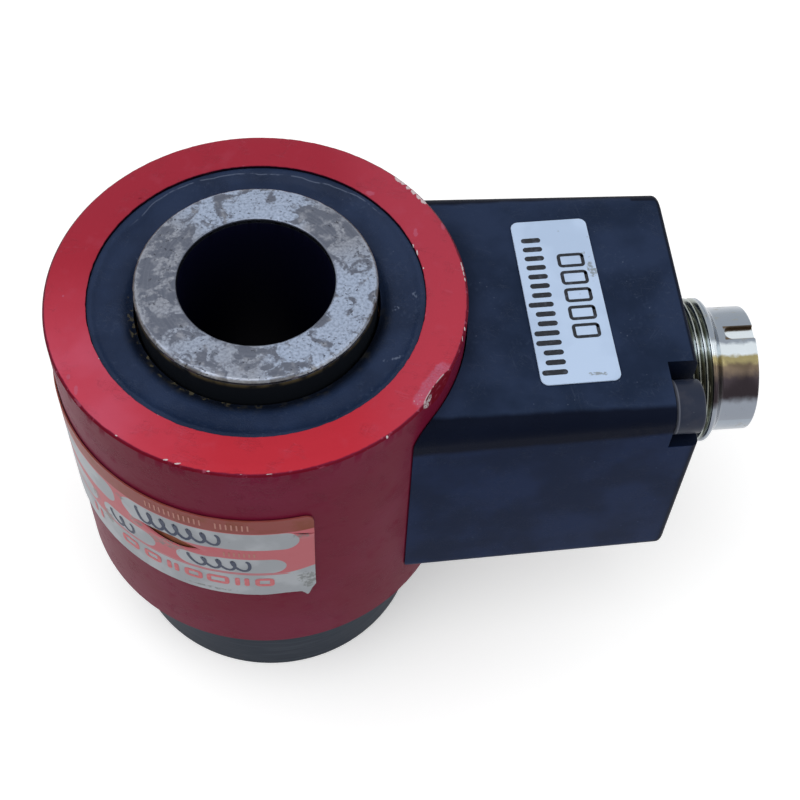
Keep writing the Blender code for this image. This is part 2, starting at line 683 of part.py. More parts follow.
def build_screws(dark_steel):
    """Two long cap screws that draw the box onto the housing."""
    tip = screw_tip()
    under_head = POCKET_FLOOR + FIT_GAP
    shank = under_head - tip
    top = shank + SCREW_HEAD_HEIGHT
    edge = SCREW_HEAD_ROUND
    head_edge = arc((SCREW_HEAD_RADIUS - edge, top - edge), edge, 90, 0, FILLET_STEPS)
    profile = [
        (0, top),
        *head_edge,
        (SCREW_HEAD_RADIUS, shank + SCREW_HEAD_BASE_BEVEL),
        (SCREW_HEAD_RADIUS - SCREW_HEAD_BASE_BEVEL, shank),
        (SCREW_RADIUS, shank),
        (SCREW_RADIUS, SCREW_TIP_BEVEL),
        (SCREW_RADIUS - SCREW_TIP_BEVEL, 0),
        (0, 0),
    ]
    key = polygon(SCREW_SOCKET_WIDTH / math.sqrt(3), 6)
    for number, (across, height) in enumerate(screw_places(), 1):
        screw = turned(
            f"box_screw_{number}", profile, SCREW_STEPS, dark_steel, spot=(tip, across, height), turn=ALONG_X
        )
        floor = tip + top - SCREW_SOCKET_DEPTH
        socket = extruded(
            f"socket_tool_{number}", key, 2 * SCREW_SOCKET_DEPTH,
            spot=(floor, across, height), turn=FACING_X,
        )
        carve(screw, socket)


def build_board(board_green, resistor_tan):
    """Terminal board in its guides, with the trimming resistors on it."""
    half = BOX_WIDTH / 2 - BOX_WALL - FIT_GAP
    outline = [(BOARD_START, -half), (BOARD_STOP, -half), (BOARD_STOP, half), (BOARD_START, half)]
    low = BOARD_TOP - BOARD_THICKNESS
    extruded("terminal_board", outline, BOARD_THICKNESS, board_green, spot=(0, 0, low))
    barrel = [
        (0, RESISTOR_LENGTH),
        (RESISTOR_RADIUS - RESISTOR_BEVEL, RESISTOR_LENGTH),
        (RESISTOR_RADIUS, RESISTOR_LENGTH - RESISTOR_BEVEL),
        (RESISTOR_RADIUS, RESISTOR_BEVEL),
        (RESISTOR_RADIUS - RESISTOR_BEVEL, 0),
        (0, 0),
    ]
    height = BOARD_TOP + FIT_GAP + RESISTOR_RADIUS
    outermost = half - GUIDE_DEPTH - RESISTOR_RADIUS
    for number in range(1, RESISTOR_COUNT + 1):
        across = RESISTOR_PITCH * (number - 1) - outermost
        spot = (BOARD_START + FIT_GAP, across, height)
        turned(f"trim_resistor_{number}", barrel, PIN_STEPS, resistor_tan, spot=spot, turn=ALONG_X)


def build_connector(nickel, black, rubber):
    """Threaded shell with its sleeve and keyway, the insulator, the seal washer and the nut."""
    spot = (0, 0, BOX_MIDDLE)
    inner = SLEEVE_RADIUS - SLEEVE_WALL
    rear_bore = inner + SHELL_STEP
    thread_end = BOX_END + THREAD_LENGTH
    shoulder_end = thread_end + SHOULDER_LENGTH
    shoulder = []
    for step in range(1, FILLET_STEPS):
        share = step / FILLET_STEPS
        drop = (THREAD_RADIUS - SLEEVE_RADIUS) * (1 - math.cos(math.pi * share)) / 2
        shoulder.append((THREAD_RADIUS - drop, thread_end + SHOULDER_LENGTH * share))
    profile = [
        (SLEEVE_RADIUS - SLEEVE_RIM_CHAMFER, CONNECTOR_END),
        (inner, CONNECTOR_END),
        (inner, SOCKET_FLOOR),
        (rear_bore, SOCKET_FLOOR),
        (rear_bore, SHELL_BACK),
        (THREAD_RADIUS, SHELL_BACK),
        (THREAD_RADIUS, thread_end),
        *shoulder,
        (SLEEVE_RADIUS, shoulder_end),
        (SLEEVE_RADIUS, CONNECTOR_END - SLEEVE_RIM_CHAMFER),
    ]
    shell = turned("connector_shell", profile, CONNECTOR_STEPS, nickel, spot=spot, turn=ALONG_X)
    half = KEYWAY_WIDTH / 2
    inner_end = arc((half, 0), half, 90, 270, KEYWAY_STEPS)
    slot = [(KEYWAY_LENGTH * 2, half), *inner_end, (KEYWAY_LENGTH * 2, -half)]
    groove = (CONNECTOR_END - KEYWAY_LENGTH, 0, BOX_MIDDLE + SLEEVE_RADIUS - KEYWAY_DEPTH)
    carve(shell, extruded("keyway_tool", slot, 2 * KEYWAY_DEPTH, spot=groove))

    body = rear_bore - FIT_GAP
    nose = inner - FIT_GAP
    step = SOCKET_FLOOR - FIT_GAP
    plug = [
        (0, INSULATOR_FACE),
        (nose, INSULATOR_FACE),
        (nose, step),
        (body, step),
        (body, INSULATOR_BACK),
        (0, INSULATOR_BACK),
    ]
    insulator = turned("connector_insulator", plug, CONNECTOR_STEPS, black, spot=spot, turn=ALONG_X)
    for number, (across, height) in enumerate(pin_places(), 1):
        hole = x_hole(
            f"pin_hole_tool_{number}", PIN_RADIUS + THIN_GAP, CUP_FRONT, CONNECTOR_END,
            across, height, PIN_STEPS,
        )
        carve(insulator, hole)

    bore = THREAD_RADIUS + FIT_GAP
    washer = ring_profile(bore, bore + SEAL_WASHER_WIDTH, WASHER_BACK, WASHER_FRONT)
    turned("connector_gasket", washer, CONNECTOR_STEPS, rubber, spot=spot, turn=ALONG_X)
    corner_radius = (bore + NUT_WALL) / math.cos(math.pi / NUT_SIDES)
    hexagon = polygon(corner_radius, NUT_SIDES, 180 / NUT_SIDES - POST_ANGLE)
    nut = extruded(
        "connector_nut", hexagon, NUT_THICKNESS, nickel, spot=(NUT_BACK, 0, BOX_MIDDLE), turn=FACING_X
    )
    carve(nut, x_hole("nut_bore_tool", bore, SHELL_BACK, BOX_END, 0, BOX_MIDDLE, CONNECTOR_STEPS))


def pin_places():
    """Contact axes as (across, height), counted round the connector from +Y."""
    places = []
    for number in range(PIN_COUNT):
        angle = math.tau * number / PIN_COUNT
        across = PIN_CIRCLE_RADIUS * math.cos(angle)
        places.append((across, BOX_MIDDLE + PIN_CIRCLE_RADIUS * math.sin(angle)))
    return places


def build_contacts(gold, wire_white):
    """Contacts through the insulator, each with a wire from the terminal board to its cup."""
    front = INSULATOR_FACE + PIN_LENGTH - CUP_BACK
    cup = CUP_FRONT - CUP_BACK
    profile = [
        (0, front),
        (PIN_RADIUS - PIN_TIP_BEVEL, front),
        (PIN_RADIUS, front - PIN_TIP_BEVEL),
        (PIN_RADIUS, cup),
        (PIN_CUP_RADIUS, cup),
        (PIN_CUP_RADIUS, 0),
        (0, 0),
    ]
    low = BOARD_TOP + FIT_GAP
    highest = BOX_MIDDLE + PIN_CIRCLE_RADIUS
    for number, (across, height) in enumerate(pin_places(), 1):
        spot = (CUP_BACK, across, height)
        turned(f"contact_pin_{number}", profile, PIN_STEPS, gold, spot=spot, turn=ALONG_X)
        rise = height - low
        foot = BOARD_STOP - WIRE_SETBACK - WIRE_SETBACK_SPREAD * rise / (highest - low)
        end = CUP_BACK - FIT_GAP
        run = end - foot
        route = [
            (foot, across, low),
            (foot, across, low + WIRE_RADIUS),
            (foot + run * WIRE_LEAN_SHARE, across, low + rise * WIRE_LIFT_SHARE),
            (foot + run * WIRE_CREST_SHARE, across, height),
            (end - 2 * WIRE_RADIUS, across, height),
            (end, across, height),
        ]
        tube(f"connector_wire_{number}", smooth_route(route), WIRE_RADIUS, wire_white)


def build_labels(paper):
    """Flat label on the box and the long label round the housing."""
    outline = rounded_rectangle(SERIAL_LABEL_WIDTH, SERIAL_LABEL_LENGTH, SERIAL_LABEL_CORNER)
    spot = (BOX_END - SERIAL_LABEL_FROM_END, 0, BOX_TOP + LABEL_GAP)
    turn = (0, 0, math.radians(SERIAL_LABEL_TILT))
    extruded("serial_label", outline, LABEL_THICKNESS, paper, spot=spot, turn=turn)
    inner = HOUSING_RADIUS + LABEL_GAP
    outer = inner + LABEL_THICKNESS
    stop = RATING_LABEL_EDGE_ANGLE
    start = stop - math.degrees(RATING_LABEL_LENGTH / inner)
    band = arc((0, 0), outer, start, stop, LABEL_STEPS) + arc((0, 0), inner, stop, start, LABEL_STEPS)
    low = HOUSING_TOP - RATING_LABEL_DROP - RATING_LABEL_HEIGHT
    extruded("rating_label", band, RATING_LABEL_HEIGHT, paper, spot=(0, 0, low))


def main():
    """Build the whole sensor."""
    clear_scene()
    axis = bpy.data.objects.new("bore_axis", None)
    bpy.context.collection.objects.link(axis)
    axis.location = (-MIDDLE_FROM_BORE, 0, 0)

    red = finish("red_coating", (0.42, 0.016, 0.024), 0.42, 0.0)
    steel = finish("worn_steel", (0.42, 0.45, 0.48), 0.38, 1.0)
    dark_steel = finish("black_screw_steel", (0.028, 0.034, 0.048), 0.45, 0.6)
    black = finish("black_moulding", (0.012, 0.016, 0.028), 0.5, 0.0)
    sealing = finish("sealing_compound", (0.009, 0.013, 0.024), 0.4, 0.0)
    rubber = finish("seal_rubber", (0.015, 0.015, 0.016), 0.75, 0.0)
    seal_grey = finish("gasket_grey", (0.16, 0.18, 0.15), 0.7, 0.0)
    fibre = finish("fibre_washer", (0.3, 0.16, 0.08), 0.7, 0.0)
    nickel = finish("nickel_plating", (0.62, 0.6, 0.55), 0.22, 1.0)
    gold = finish("contact_gold", (0.8, 0.55, 0.2), 0.25, 1.0)
    board_green = finish("board_green", (0.03, 0.14, 0.06), 0.5, 0.0)
    resistor_tan = finish("resistor_tan", (0.5, 0.34, 0.2), 0.5, 0.0)
    foil = finish("gauge_foil", (0.5, 0.28, 0.08), 0.4, 0.0)
    wire_red = finish("lead_enamel", (0.35, 0.06, 0.03), 0.45, 0.0)
    wire_white = finish("wire_sleeve", (0.6, 0.6, 0.58), 0.5, 0.0)
    cable_grey = finish("cable_sheath", (0.2, 0.2, 0.21), 0.55, 0.0)
    paper = finish("label_film", (0.66, 0.7, 0.76), 0.5, 0.0)

    build_housing(red)
    build_measuring_body(steel)
    build_seals(sealing, fibre, rubber)
    build_gauges(foil, board_green, wire_red)
    build_cable_entry(rubber, cable_grey)
    build_box(black, seal_grey)
    build_screws(dark_steel)
    build_board(board_green, resistor_tan)
    build_connector(nickel, black, rubber)
    build_contacts(gold, wire_white)
    build_labels(paper)


main()
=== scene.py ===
"""Looks of the ring-shaped force sensor: fine meshes, finishes, labels, light and camera.

Lengths are in millimetres, measured from the bore axis and the foot face, until a mesh is made.
Angles are in degrees round the bore, counted from the connector's side towards +Y.
"""

from __future__ import annotations

import json
import logging
import math
from dataclasses import dataclass, field
from enum import Enum
from functools import reduce
from typing import Callable, Iterable, Mapping, Sequence, Union

import bmesh
import bpy
from mathutils import Matrix, Vector
from mathutils.noise import noise as smooth_noise


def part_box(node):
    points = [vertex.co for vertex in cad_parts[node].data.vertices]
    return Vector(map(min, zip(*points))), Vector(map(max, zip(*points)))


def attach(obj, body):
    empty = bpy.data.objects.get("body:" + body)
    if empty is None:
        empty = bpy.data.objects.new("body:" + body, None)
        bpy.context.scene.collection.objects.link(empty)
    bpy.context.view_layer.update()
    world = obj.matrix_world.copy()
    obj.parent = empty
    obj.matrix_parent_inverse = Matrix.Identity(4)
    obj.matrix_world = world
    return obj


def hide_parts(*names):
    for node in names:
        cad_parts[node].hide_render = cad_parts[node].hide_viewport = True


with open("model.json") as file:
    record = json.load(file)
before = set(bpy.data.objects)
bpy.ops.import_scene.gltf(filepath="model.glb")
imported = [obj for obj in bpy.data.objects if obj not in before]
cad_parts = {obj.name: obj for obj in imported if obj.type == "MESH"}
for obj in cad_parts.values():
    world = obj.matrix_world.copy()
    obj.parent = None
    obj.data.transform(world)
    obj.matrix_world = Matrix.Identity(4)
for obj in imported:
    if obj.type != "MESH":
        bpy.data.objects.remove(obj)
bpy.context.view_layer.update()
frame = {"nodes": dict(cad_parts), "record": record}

LOG = logging.getLogger("force_sensor")
MM = 0.001
WING_GAP = 0.15
SCREW_SIDE_INSET = 2.9
SCREW_TOP_INSET = 3.35
LABEL_GAP = 0.1
FILM_THICKNESS = 0.15
INK_THICKNESS = 0.015
FLARE = math.tan(math.radians(1.88))
ROUND_STEPS = 5
DENT_STEPS = 720
SHARP = 35.0
WHITE = (1.0, 1.0, 1.0)

Place = tuple[float, float]
Profile = list[Place]
Faces = list[Sequence[int]]
Colour = tuple[float, float, float]
Socket = bpy.types.NodeSocket
Value = Union[float, Sequence[float], Socket]
Piece = bpy.types.Object
Wear = Callable[[float, float, float], Place]


class Lay(Enum):
    """Which way a shape's own Z lies: up the bore, or out along the connector."""

    BORE = "bore"
    CONNECTOR = "connector"


@dataclass(frozen=True)
class Datum:
    """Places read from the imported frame, in millimetres from the bore axis and the foot."""

    bore_x: float
    foot_radius: float
    body_top: float
    housing_radius: float
    housing_top: float
    housing_bottom: float
    box_end: float
    box_half_width: float
    box_top: float
    box_bottom: float
    thread_radius: float
    connector_back: float
    connector_end: float

    @property
    def box_middle(self) -> float:
        """Height of the connector's axis."""
        return (self.box_top + self.box_bottom) / 2

    @property
    def box_half_height(self) -> float:
        """Half the height of the box."""
        return (self.box_top - self.box_bottom) / 2

    @classmethod
    def read(cls) -> Datum:
        """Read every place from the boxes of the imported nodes.

        Returns:
            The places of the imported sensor.
        """
        body_low, body_high = (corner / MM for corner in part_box("measuring_body"))
        shell_low, shell_high = (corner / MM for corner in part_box("outer_housing"))
        box_low, box_high = (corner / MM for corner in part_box("connector_box"))
        plug_low, plug_high = (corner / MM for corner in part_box("connector_shell"))
        bore_x = (body_low.x + body_high.x) / 2
        housing_radius = (shell_high.y - shell_low.y) / 2
        wing = (box_high.y - box_low.y) / 2
        wing_x = math.sqrt((housing_radius + WING_GAP) ** 2 - wing**2)
        return cls(
            bore_x=bore_x,
            foot_radius=(body_high.y - body_low.y) / 2,
            body_top=body_high.z,
            housing_radius=housing_radius,
            housing_top=shell_high.z,
            housing_bottom=shell_low.z,
            box_end=box_high.x - bore_x,
            box_half_width=wing - FLARE * (box_high.x - bore_x - wing_x),
            box_top=box_high.z,
            box_bottom=box_low.z,
            thread_radius=(plug_high.z - plug_low.z) / 2,
            connector_back=plug_low.x - bore_x,
            connector_end=plug_high.x - bore_x,
        )


AT = Datum.read()


def srgb(red: float, green: float, blue: float) -> Colour:
    """Turn a colour as seen, 0 to 255, into the linear values that shaders take."""
    parts = (value / 255 for value in (red, green, blue))
    return tuple(p / 12.92 if p <= 0.04045 else ((p + 0.055) / 1.055) ** 2.4 for p in parts)


def polar(radius: float, angle: float, height: float = 0.0) -> Vector:
    """Give the point at a radius, an angle in degrees and a height."""
    turn = math.radians(angle)
    return Vector((radius * math.cos(turn), radius * math.sin(turn), height))


def arc(centre: Place, radius: float, start: float, stop: float, steps: int) -> Profile:
    """Give points along an arc from one angle in degrees to another, both ends included."""
    turns = (math.radians(start + (stop - start) * step / steps) for step in range(steps + 1))
    return [(centre[0] + radius * math.cos(t), centre[1] + radius * math.sin(t)) for t in turns]


def rounded_rectangle(width: float, height: float, radius: float, steps: int = 10) -> Profile:
    """Give the outline of a rectangle round the origin with rounded corners.

    Args:
        width: Its width.
        height: Its height.
        radius: Radius of its corners.
        steps: Number of steps in each corner.

    Returns:
        The points in order.
    """
    across, up = width / 2 - radius, height / 2 - radius
    outline: Profile = []
    for quarter, centre in enumerate(((across, up), (-across, up), (-across, -up), (across, -up))):
        outline += arc(centre, radius, quarter * 90, quarter * 90 + 90, steps)
    return outline


def corner_places(side: float, top: float) -> Profile:
    """Give the box's two pocketed corners, (across, up) from its middle, moved inwards."""
    across, up = AT.box_half_width - side, AT.box_half_height - top
    return [(-across, up), (across, -up)]


SCREW_PLACES = corner_places(SCREW_SIDE_INSET, SCREW_TOP_INSET)


def lay_matrix(lay: Lay) -> Matrix:
    """Give the matrix from a shape's own millimetres to the row frame in metres.

    Args:
        lay: Which way the shape lies.

    Returns:
        The matrix.
    """
    to_row = Matrix.Scale(MM, 4) @ Matrix.Translation((AT.bore_x, 0, 0))
    if lay is Lay.BORE:
        return to_row
    turn = Matrix(((0, 0, 1, 0), (1, 0, 0, 0), (0, 1, 0, AT.box_middle), (0, 0, 0, 1)))
    return to_row @ turn


def soften(mesh: bpy.types.Mesh, sharp: float) -> None:
    """Shade a mesh smooth but for the edges sharper than an angle in degrees."""
    mesh.shade_smooth()
    mesh.set_sharp_from_angle(angle=math.radians(sharp))


def make_piece(
    name: str,
    points: Iterable[Sequence[float]],
    faces: Iterable[Sequence[int]],
    lay: Lay = Lay.BORE,
    sharp: float = SHARP,
) -> Piece:
    """Make an object from points in millimetres, smooth but for its sharp edges.

    Args:
        name: Name of the object.
        points: Its points in the lay's own millimetres.
        faces: Corner numbers of its faces.
        lay: Which way the shape lies.
        sharp: Angle between faces, in degrees, above which an edge stays sharp.

    Returns:
        The new object, with its place in its mesh.
    """
    mesh = bpy.data.meshes.new(name)
    mesh.from_pydata([tuple(point) for point in points], [], [tuple(face) for face in faces])
    mesh.transform(lay_matrix(lay))
    shape = bmesh.new()
    shape.from_mesh(mesh)
    bmesh.ops.recalc_face_normals(shape, faces=shape.faces)
    shape.to_mesh(mesh)
    shape.free()
    soften(mesh, sharp)
    piece = bpy.data.objects.new(name, mesh)
    bpy.context.scene.collection.objects.link(piece)
    return piece


def stack_faces(count: int, levels: int = 2, ends: bool = True) -> Faces:
    """Join equal outlines that lie one above the other into a skin.

    Args:
        count: Points in each outline.
        levels: Number of outlines.
        ends: Whether one face each closes the first and the last outline.

    Returns:
        Corner numbers of the faces.
    """
    last = (levels - 1) * count
    faces: Faces = [range(count), range(last, last + count)] if ends else []
    for row in range(0, last, count):
        for step in range(count):
            near, far = row + step, row + (step + 1) % count
            faces.append((near, far, far + count, near + count))
    return faces


def revolve(
    name: str,
    profile: Profile,
    steps: int,
    lay: Lay = Lay.BORE,
    worn: Wear | None = None,
    sharp: float = SHARP,
) -> Piece:
    """Turn a closed profile, or one that starts and ends on the axis, into a round piece.

    Args:
        name: Name of the object.
        profile: Points as (radius, height).
        steps: Number of steps round the axis.
        lay: Which way the axis lies.
        worn: Changes (radius, height, angle) into a worn (radius, height).
        sharp: Angle in degrees above which an edge stays sharp.

    Returns:
        The new object.
    """
    points: list[Vector] = []
    rows: list[list[int]] = []
    for radius, height in profile:
        if radius == 0:
            rows.append([len(points)] * steps)
            points.append(Vector((0, 0, height)))
            continue
        rows.append(list(range(len(points), len(points) + steps)))
        for step in range(steps):
            angle = 360 * step / steps
            spot = worn(radius, height, angle) if worn else (radius, height)
            points.append(polar(spot[0], angle, spot[1]))
    pairs = list(zip(rows, rows[1:]))
    if profile[0][0] > 0:
        pairs.append((rows[-1], rows[0]))
    faces = []
    for near, far in pairs:
        for step in range(steps):
            other = (step + 1) % steps
            corners = [near[step], near[other], far[other], far[step]]
            faces.append(list(dict.fromkeys(corners)))
    return make_piece(name, points, faces, lay, sharp)


def raise_outline(
    name: str,
    outline: Profile,
    low: float,
    high: float,
    lay: Lay = Lay.BORE,
    at: Place = (0.0, 0.0),
    rounding: float = 0.0,
) -> Piece:
    """Raise a flat outline into a solid, with its far edge rounded if asked.

    Args:
        name: Name of the object.
        outline: Points across the lay's own Z.
        low: Where it starts along Z.
        high: Where it ends.
        lay: Which way Z lies.
        at: Where the outline's origin goes.
        rounding: Radius of the rounding along the far edge.

    Returns:
        The new object.
    """
    levels = [(low, 0.0)]
    if rounding:
        turns = [math.radians(90 * step / ROUND_STEPS) for step in range(ROUND_STEPS + 1)]
        levels += [(high - rounding * (1 - math.sin(t)), rounding * (1 - math.cos(t))) for t in turns]
    else:
        levels.append((high, 0.0))
    half_x = max(x for x, _ in outline)
    half_y = max(y for _, y in outline)
    points = []
    for level, inset in levels:
        scale_x, scale_y = 1 - inset / half_x, 1 - inset / half_y
        points += [(x * scale_x + at[0], y * scale_y + at[1], level) for x, y in outline]
    return make_piece(name, points, stack_faces(len(outline), len(levels)), lay)


def carve(piece: Piece, tool: Piece, operation: str = "DIFFERENCE", sharp: float = SHARP) -> None:
    """Cut a piece with a tool, or keep only what lies in it, and throw the tool away.

    Args:
        piece: What is cut.
        tool: What cuts it.
        operation: The Boolean operation.
        sharp: Angle in degrees above which an edge stays sharp.
    """
    step = piece.modifiers.new("carve", "BOOLEAN")
    step.operation = operation
    step.object = tool
    step.solver = "EXACT"
    bpy.context.view_layer.update()
    evaluated = piece.evaluated_get(bpy.context.evaluated_depsgraph_get())
    mesh = bpy.data.meshes.new_from_object(evaluated)
    piece.modifiers.clear()
    piece.data = mesh
    soften(mesh, sharp)
    bpy.data.objects.remove(tool, do_unlink=True)


def drill(name: str, radius: float, start: float, stop: float, at: Place = (0.0, 0.0)) -> Piece:
    """Make a round cutter along the connector's direction, at (across, up) from its axis."""
    outline = arc((0, 0), radius, 0, 352.5, 47)
    return raise_outline(name, outline, start, stop, Lay.CONNECTOR, at=at)


@dataclass(frozen=True)
class Spot:
    """A small marked place at a radius, an angle and a height, with its three half sizes."""

    radius: float
    angle: float
    height: float
    sizes: tuple[float, float, float]

    @property
    def centre(self) -> Vector:
        """Middle of the spot."""
        return polar(self.radius, self.angle, self.height)


class NodeSheet:
    """A node tree while it is being laid out."""

    def __init__(self, tree: bpy.types.NodeTree) -> None:
        """Take over a tree."""
        self.tree = tree

    def node(
        self, kind: str, values: Sequence[Value] | Mapping[Union[str, int], Value] = (), **settings: object
    ) -> bpy.types.Node:
        """Add a node, make its own settings, then feed its inputs.

        Args:
            kind: Kind of node.
            values: What its inputs get, in order, or by name or number.
            settings: Its own settings.

        Returns:
            The node.
        """
        made = self.tree.nodes.new(kind)
        for key, setting in settings.items():
            setattr(made, key, setting)
        for key, value in values.items() if isinstance(values, Mapping) else enumerate(values):
            self.feed(made.inputs[key], value)
        return made

    def feed(self, socket: Socket, value: Value) -> None:
        """Link a socket to another, or write a constant on it.

        Args:
            socket: The input.
            value: The output or the constant that it gets.
        """
        if isinstance(value, bpy.types.NodeSocket):
            self.tree.links.new(value, socket)
        elif socket.type == "RGBA":
            socket.default_value = (*value, 1.0)
        else:
            socket.default_value = value

    def math(self, operation: str, *values: Value) -> Socket:
        """Work on single numbers."""
        return self.node("ShaderNodeMath", values, operation=operation).outputs[0]

    def mix(self, amount: Value, first: Value, second: Value) -> Socket:
        """Mix two colours."""
        return self.node("ShaderNodeMix", {0: amount, 6: first, 7: second}, data_type="RGBA").outputs[2]

    def between(self, amount: Value, first: float, second: float) -> Socket:
        """Mix two numbers."""
        return self.node("ShaderNodeMix", {0: amount, 2: first, 3: second}, data_type="FLOAT").outputs[0]

    def both(self, *values: Value) -> Socket:
        """Multiply masks, so that all of them have to hold."""
        return reduce(lambda total, value: self.math("MULTIPLY", total, value), values)

    def either(self, *values: Value) -> Socket:
        """Keep the strongest of several masks."""
        return reduce(lambda total, value: self.math("MAXIMUM", total, value), values)

    def seen(self) -> Socket:
        """Give 1 to camera, mirror and glass rays, and 0 to the others."""
        rays = self.node("ShaderNodeLightPath").outputs
        return self.either(rays["Is Camera Ray"], rays["Is Glossy Ray"], rays["Is Transmission Ray"])


class NodeWork(NodeSheet):
    """A finish's nodes: places in millimetres, masks, and the colour so far."""

    def __init__(self, name: str) -> None:
        """Start a material with a Principled shader.

        Args:
            name: Name of the material.
        """
        self.material = bpy.data.materials.new(name)
        self.material.use_nodes = True
        super().__init__(self.material.node_tree)
        self.shader = self.tree.nodes["Principled BSDF"]
        own = self.node("ShaderNodeTexCoord").outputs["Object"]
        self.place = self.vector("MULTIPLY_ADD", own, (1 / MM,) * 3, (-AT.bore_x, 0, 0))
        self.x, self.y, self.z = self.split(self.place)
        self.radius = self.vector("LENGTH", self.vector("MULTIPLY", self.place, (1, 1, 0)))
        self.angle = self.math("MULTIPLY", self.math("ARCTAN2", self.y, self.x), 180 / math.pi)

    def over(self, colour: Value, paint: Value, *masks: Value) -> Socket:
        """Lay a paint over a colour, where all the masks hold."""
        return self.mix(self.both(*masks), colour, paint)

    def vector(self, operation: str, *values: Value) -> Socket:
        """Work on vectors; lengths come out as numbers."""
        made = self.node("ShaderNodeVectorMath", values, operation=operation)
        return made.outputs["Value" if operation == "LENGTH" else "Vector"]

    def split(self, value: Value) -> tuple[Socket, Socket, Socket]:
        """Take a vector apart."""
        return tuple(self.node("ShaderNodeSeparateXYZ", (value,)).outputs)

    def join(self, x: Value, y: Value, z: Value = 0.0) -> Socket:
        """Put a vector together."""
        return self.node("ShaderNodeCombineXYZ", (x, y, z)).outputs[0]

    def step(self, value: Value, low: float, high: float) -> Socket:
        """Rise smoothly from 0 at low to 1 at high; low above high falls instead."""
        ends = (low, high, 0.0, 1.0) if high > low else (high, low, 1.0, 0.0)
        return self.node("ShaderNodeMapRange", (value, *ends), interpolation_type="SMOOTHSTEP").outputs[0]

    def apart(self, value: Value, middle: float) -> Socket:
        """Give how far a number lies above another."""
        return self.math("SUBTRACT", value, middle)

    def without(self, mask: Value) -> Socket:
        """Turn a mask round."""
        return self.math("SUBTRACT", 1.0, mask)

    def sway(self, value: Value, amount: float) -> Socket:
        """Turn a noise that lies round a half into one that lies round nought."""
        return self.math("MULTIPLY", self.apart(value, 0.5), amount)

    def noise(self, scale: float, detail: float = 3.0, at: Value | None = None, twist: float = 0.0) -> Socket:
        """Give cloudy noise; scale counts its cells in a millimetre."""
        values = {"Vector": at or self.place, "Scale": scale, "Detail": detail, "Distortion": twist}
        return self.node("ShaderNodeTexNoise", values).outputs["Fac"]

    def patch(self, scale: float, detail: float, low: float, high: float) -> Socket:
        """Give the places where noise rises above a level."""
        return self.step(self.noise(scale, detail), low, high)

    def stretched(self, detail: float, *shares: float) -> Socket:
        """Give noise whose cells are drawn out, by their number in a millimetre each way."""
        return self.noise(1.0, detail, at=self.vector("MULTIPLY", self.place, shares))

    def ramp(self, value: Value, stops: Sequence[Place]) -> Socket:
        """Give a number that runs through stops.

        Args:
            value: What the stops' places are read on.
            stops: Pairs of a place and a level, both from 0 to 1.

        Returns:
            The level.
        """
        made = self.node("ShaderNodeValToRGB", (value,))
        points = made.color_ramp.elements
        for number, (place, level) in enumerate(stops):
            point = points[number] if number < len(points) else points.new(place)
            point.position = place
            point.color = (level, level, level, 1.0)
        return self.split(made.outputs[0])[0]

    def dust(self, scale: float, share: float, size: float = 0.2) -> Socket:
        """Scatter small specks.

        Args:
            scale: Cells in a millimetre.
            share: Share of the cells that hold a speck.
            size: Size of a speck as a share of its cell.

        Returns:
            A mask, 1 on the specks.
        """
        cells = self.node("ShaderNodeTexVoronoi", {"Vector": self.place, "Scale": scale}).outputs
        chance = self.split(cells["Color"])[0]
        speck = self.step(cells["Distance"], size, size * 0.4)
        return self.both(speck, self.step(chance, 1 - share, 1 - share + 0.02))

    def scratches(self, spin: float, pitch: float, width: float = 0.012, axis: str = "Z_AXIS") -> Socket:
        """Draw sparse fine scratches that run roughly one way.

        Args:
            spin: Their direction, in degrees round the axis.
            pitch: How many could fit in a millimetre.
            width: How wide they are, as a share of the noise's range.
            axis: Axis that they turn round.

        Returns:
            A mask, 1 on the scratches.
        """
        settings = {"Vector": self.place, "Angle": math.radians(spin)}
        turned = self.node("ShaderNodeVectorRotate", settings, rotation_type=axis).outputs[0]
        drawn = self.vector("MULTIPLY", turned, (0.09 * pitch, pitch, pitch))
        line = self.math("ABSOLUTE", self.apart(self.noise(1.0, 1.0, at=drawn), 0.5))
        return self.both(self.step(line, width, 0.0), self.patch(0.35, 2.0, 0.52, 0.6))

    def spots(self, places: Sequence[Spot], ragged: float = 0.5) -> Socket:
        """Mark small places with ragged edges.

        Args:
            places: The spots.
            ragged: How far noise pushes their edges, as a share of their size.

        Returns:
            A mask, 1 in the spots.
        """
        rough = self.sway(self.noise(2.2, 4.0), 2 * ragged)
        total: Value = 0.0
        for spot in places:
            offset = self.vector("SUBTRACT", self.place, tuple(spot.centre))
            reach = self.vector("LENGTH", self.vector("DIVIDE", offset, spot.sizes))
            total = self.either(total, self.step(self.math("ADD", reach, rough), 1.0, 0.75))
        return total

    def window(self, at: Socket, low: Place, high: Place, corner: float) -> Socket:
        """Mark a rounded rectangle on a flat pair of coordinates.

        Args:
            at: The coordinates.
            low: Its lowest corner.
            high: Its highest corner.
            corner: Radius of its corners.

        Returns:
            A mask, 1 inside.
        """
        middle = ((low[0] + high[0]) / 2, (low[1] + high[1]) / 2, 0)
        core = ((high[0] - low[0]) / 2 - corner, (high[1] - low[1]) / 2 - corner, 0)
        offset = self.vector("ABSOLUTE", self.vector("SUBTRACT", at, middle))
        beyond = self.vector("MAXIMUM", self.vector("SUBTRACT", offset, core), (0, 0, 0))
        return self.step(self.vector("LENGTH", beyond), corner + 0.04, corner - 0.04)

    def bump(self, height: Value, depth: float) -> None:
        """Raise the surface by a height map, over what raises it already.

        Args:
            height: The height map.
            depth: What its 1 stands for, in millimetres.
        """
        made = self.node("ShaderNodeBump", {"Distance": depth * MM, "Height": height})
        normal = self.shader.inputs["Normal"]
        if normal.links:
            self.feed(made.inputs["Normal"], normal.links[0].from_socket)
        self.feed(normal, made.outputs[0])

    def roughness(self, value: Value) -> None:
        """Give the shader its roughness."""
        self.feed(self.shader.inputs["Roughness"], value)

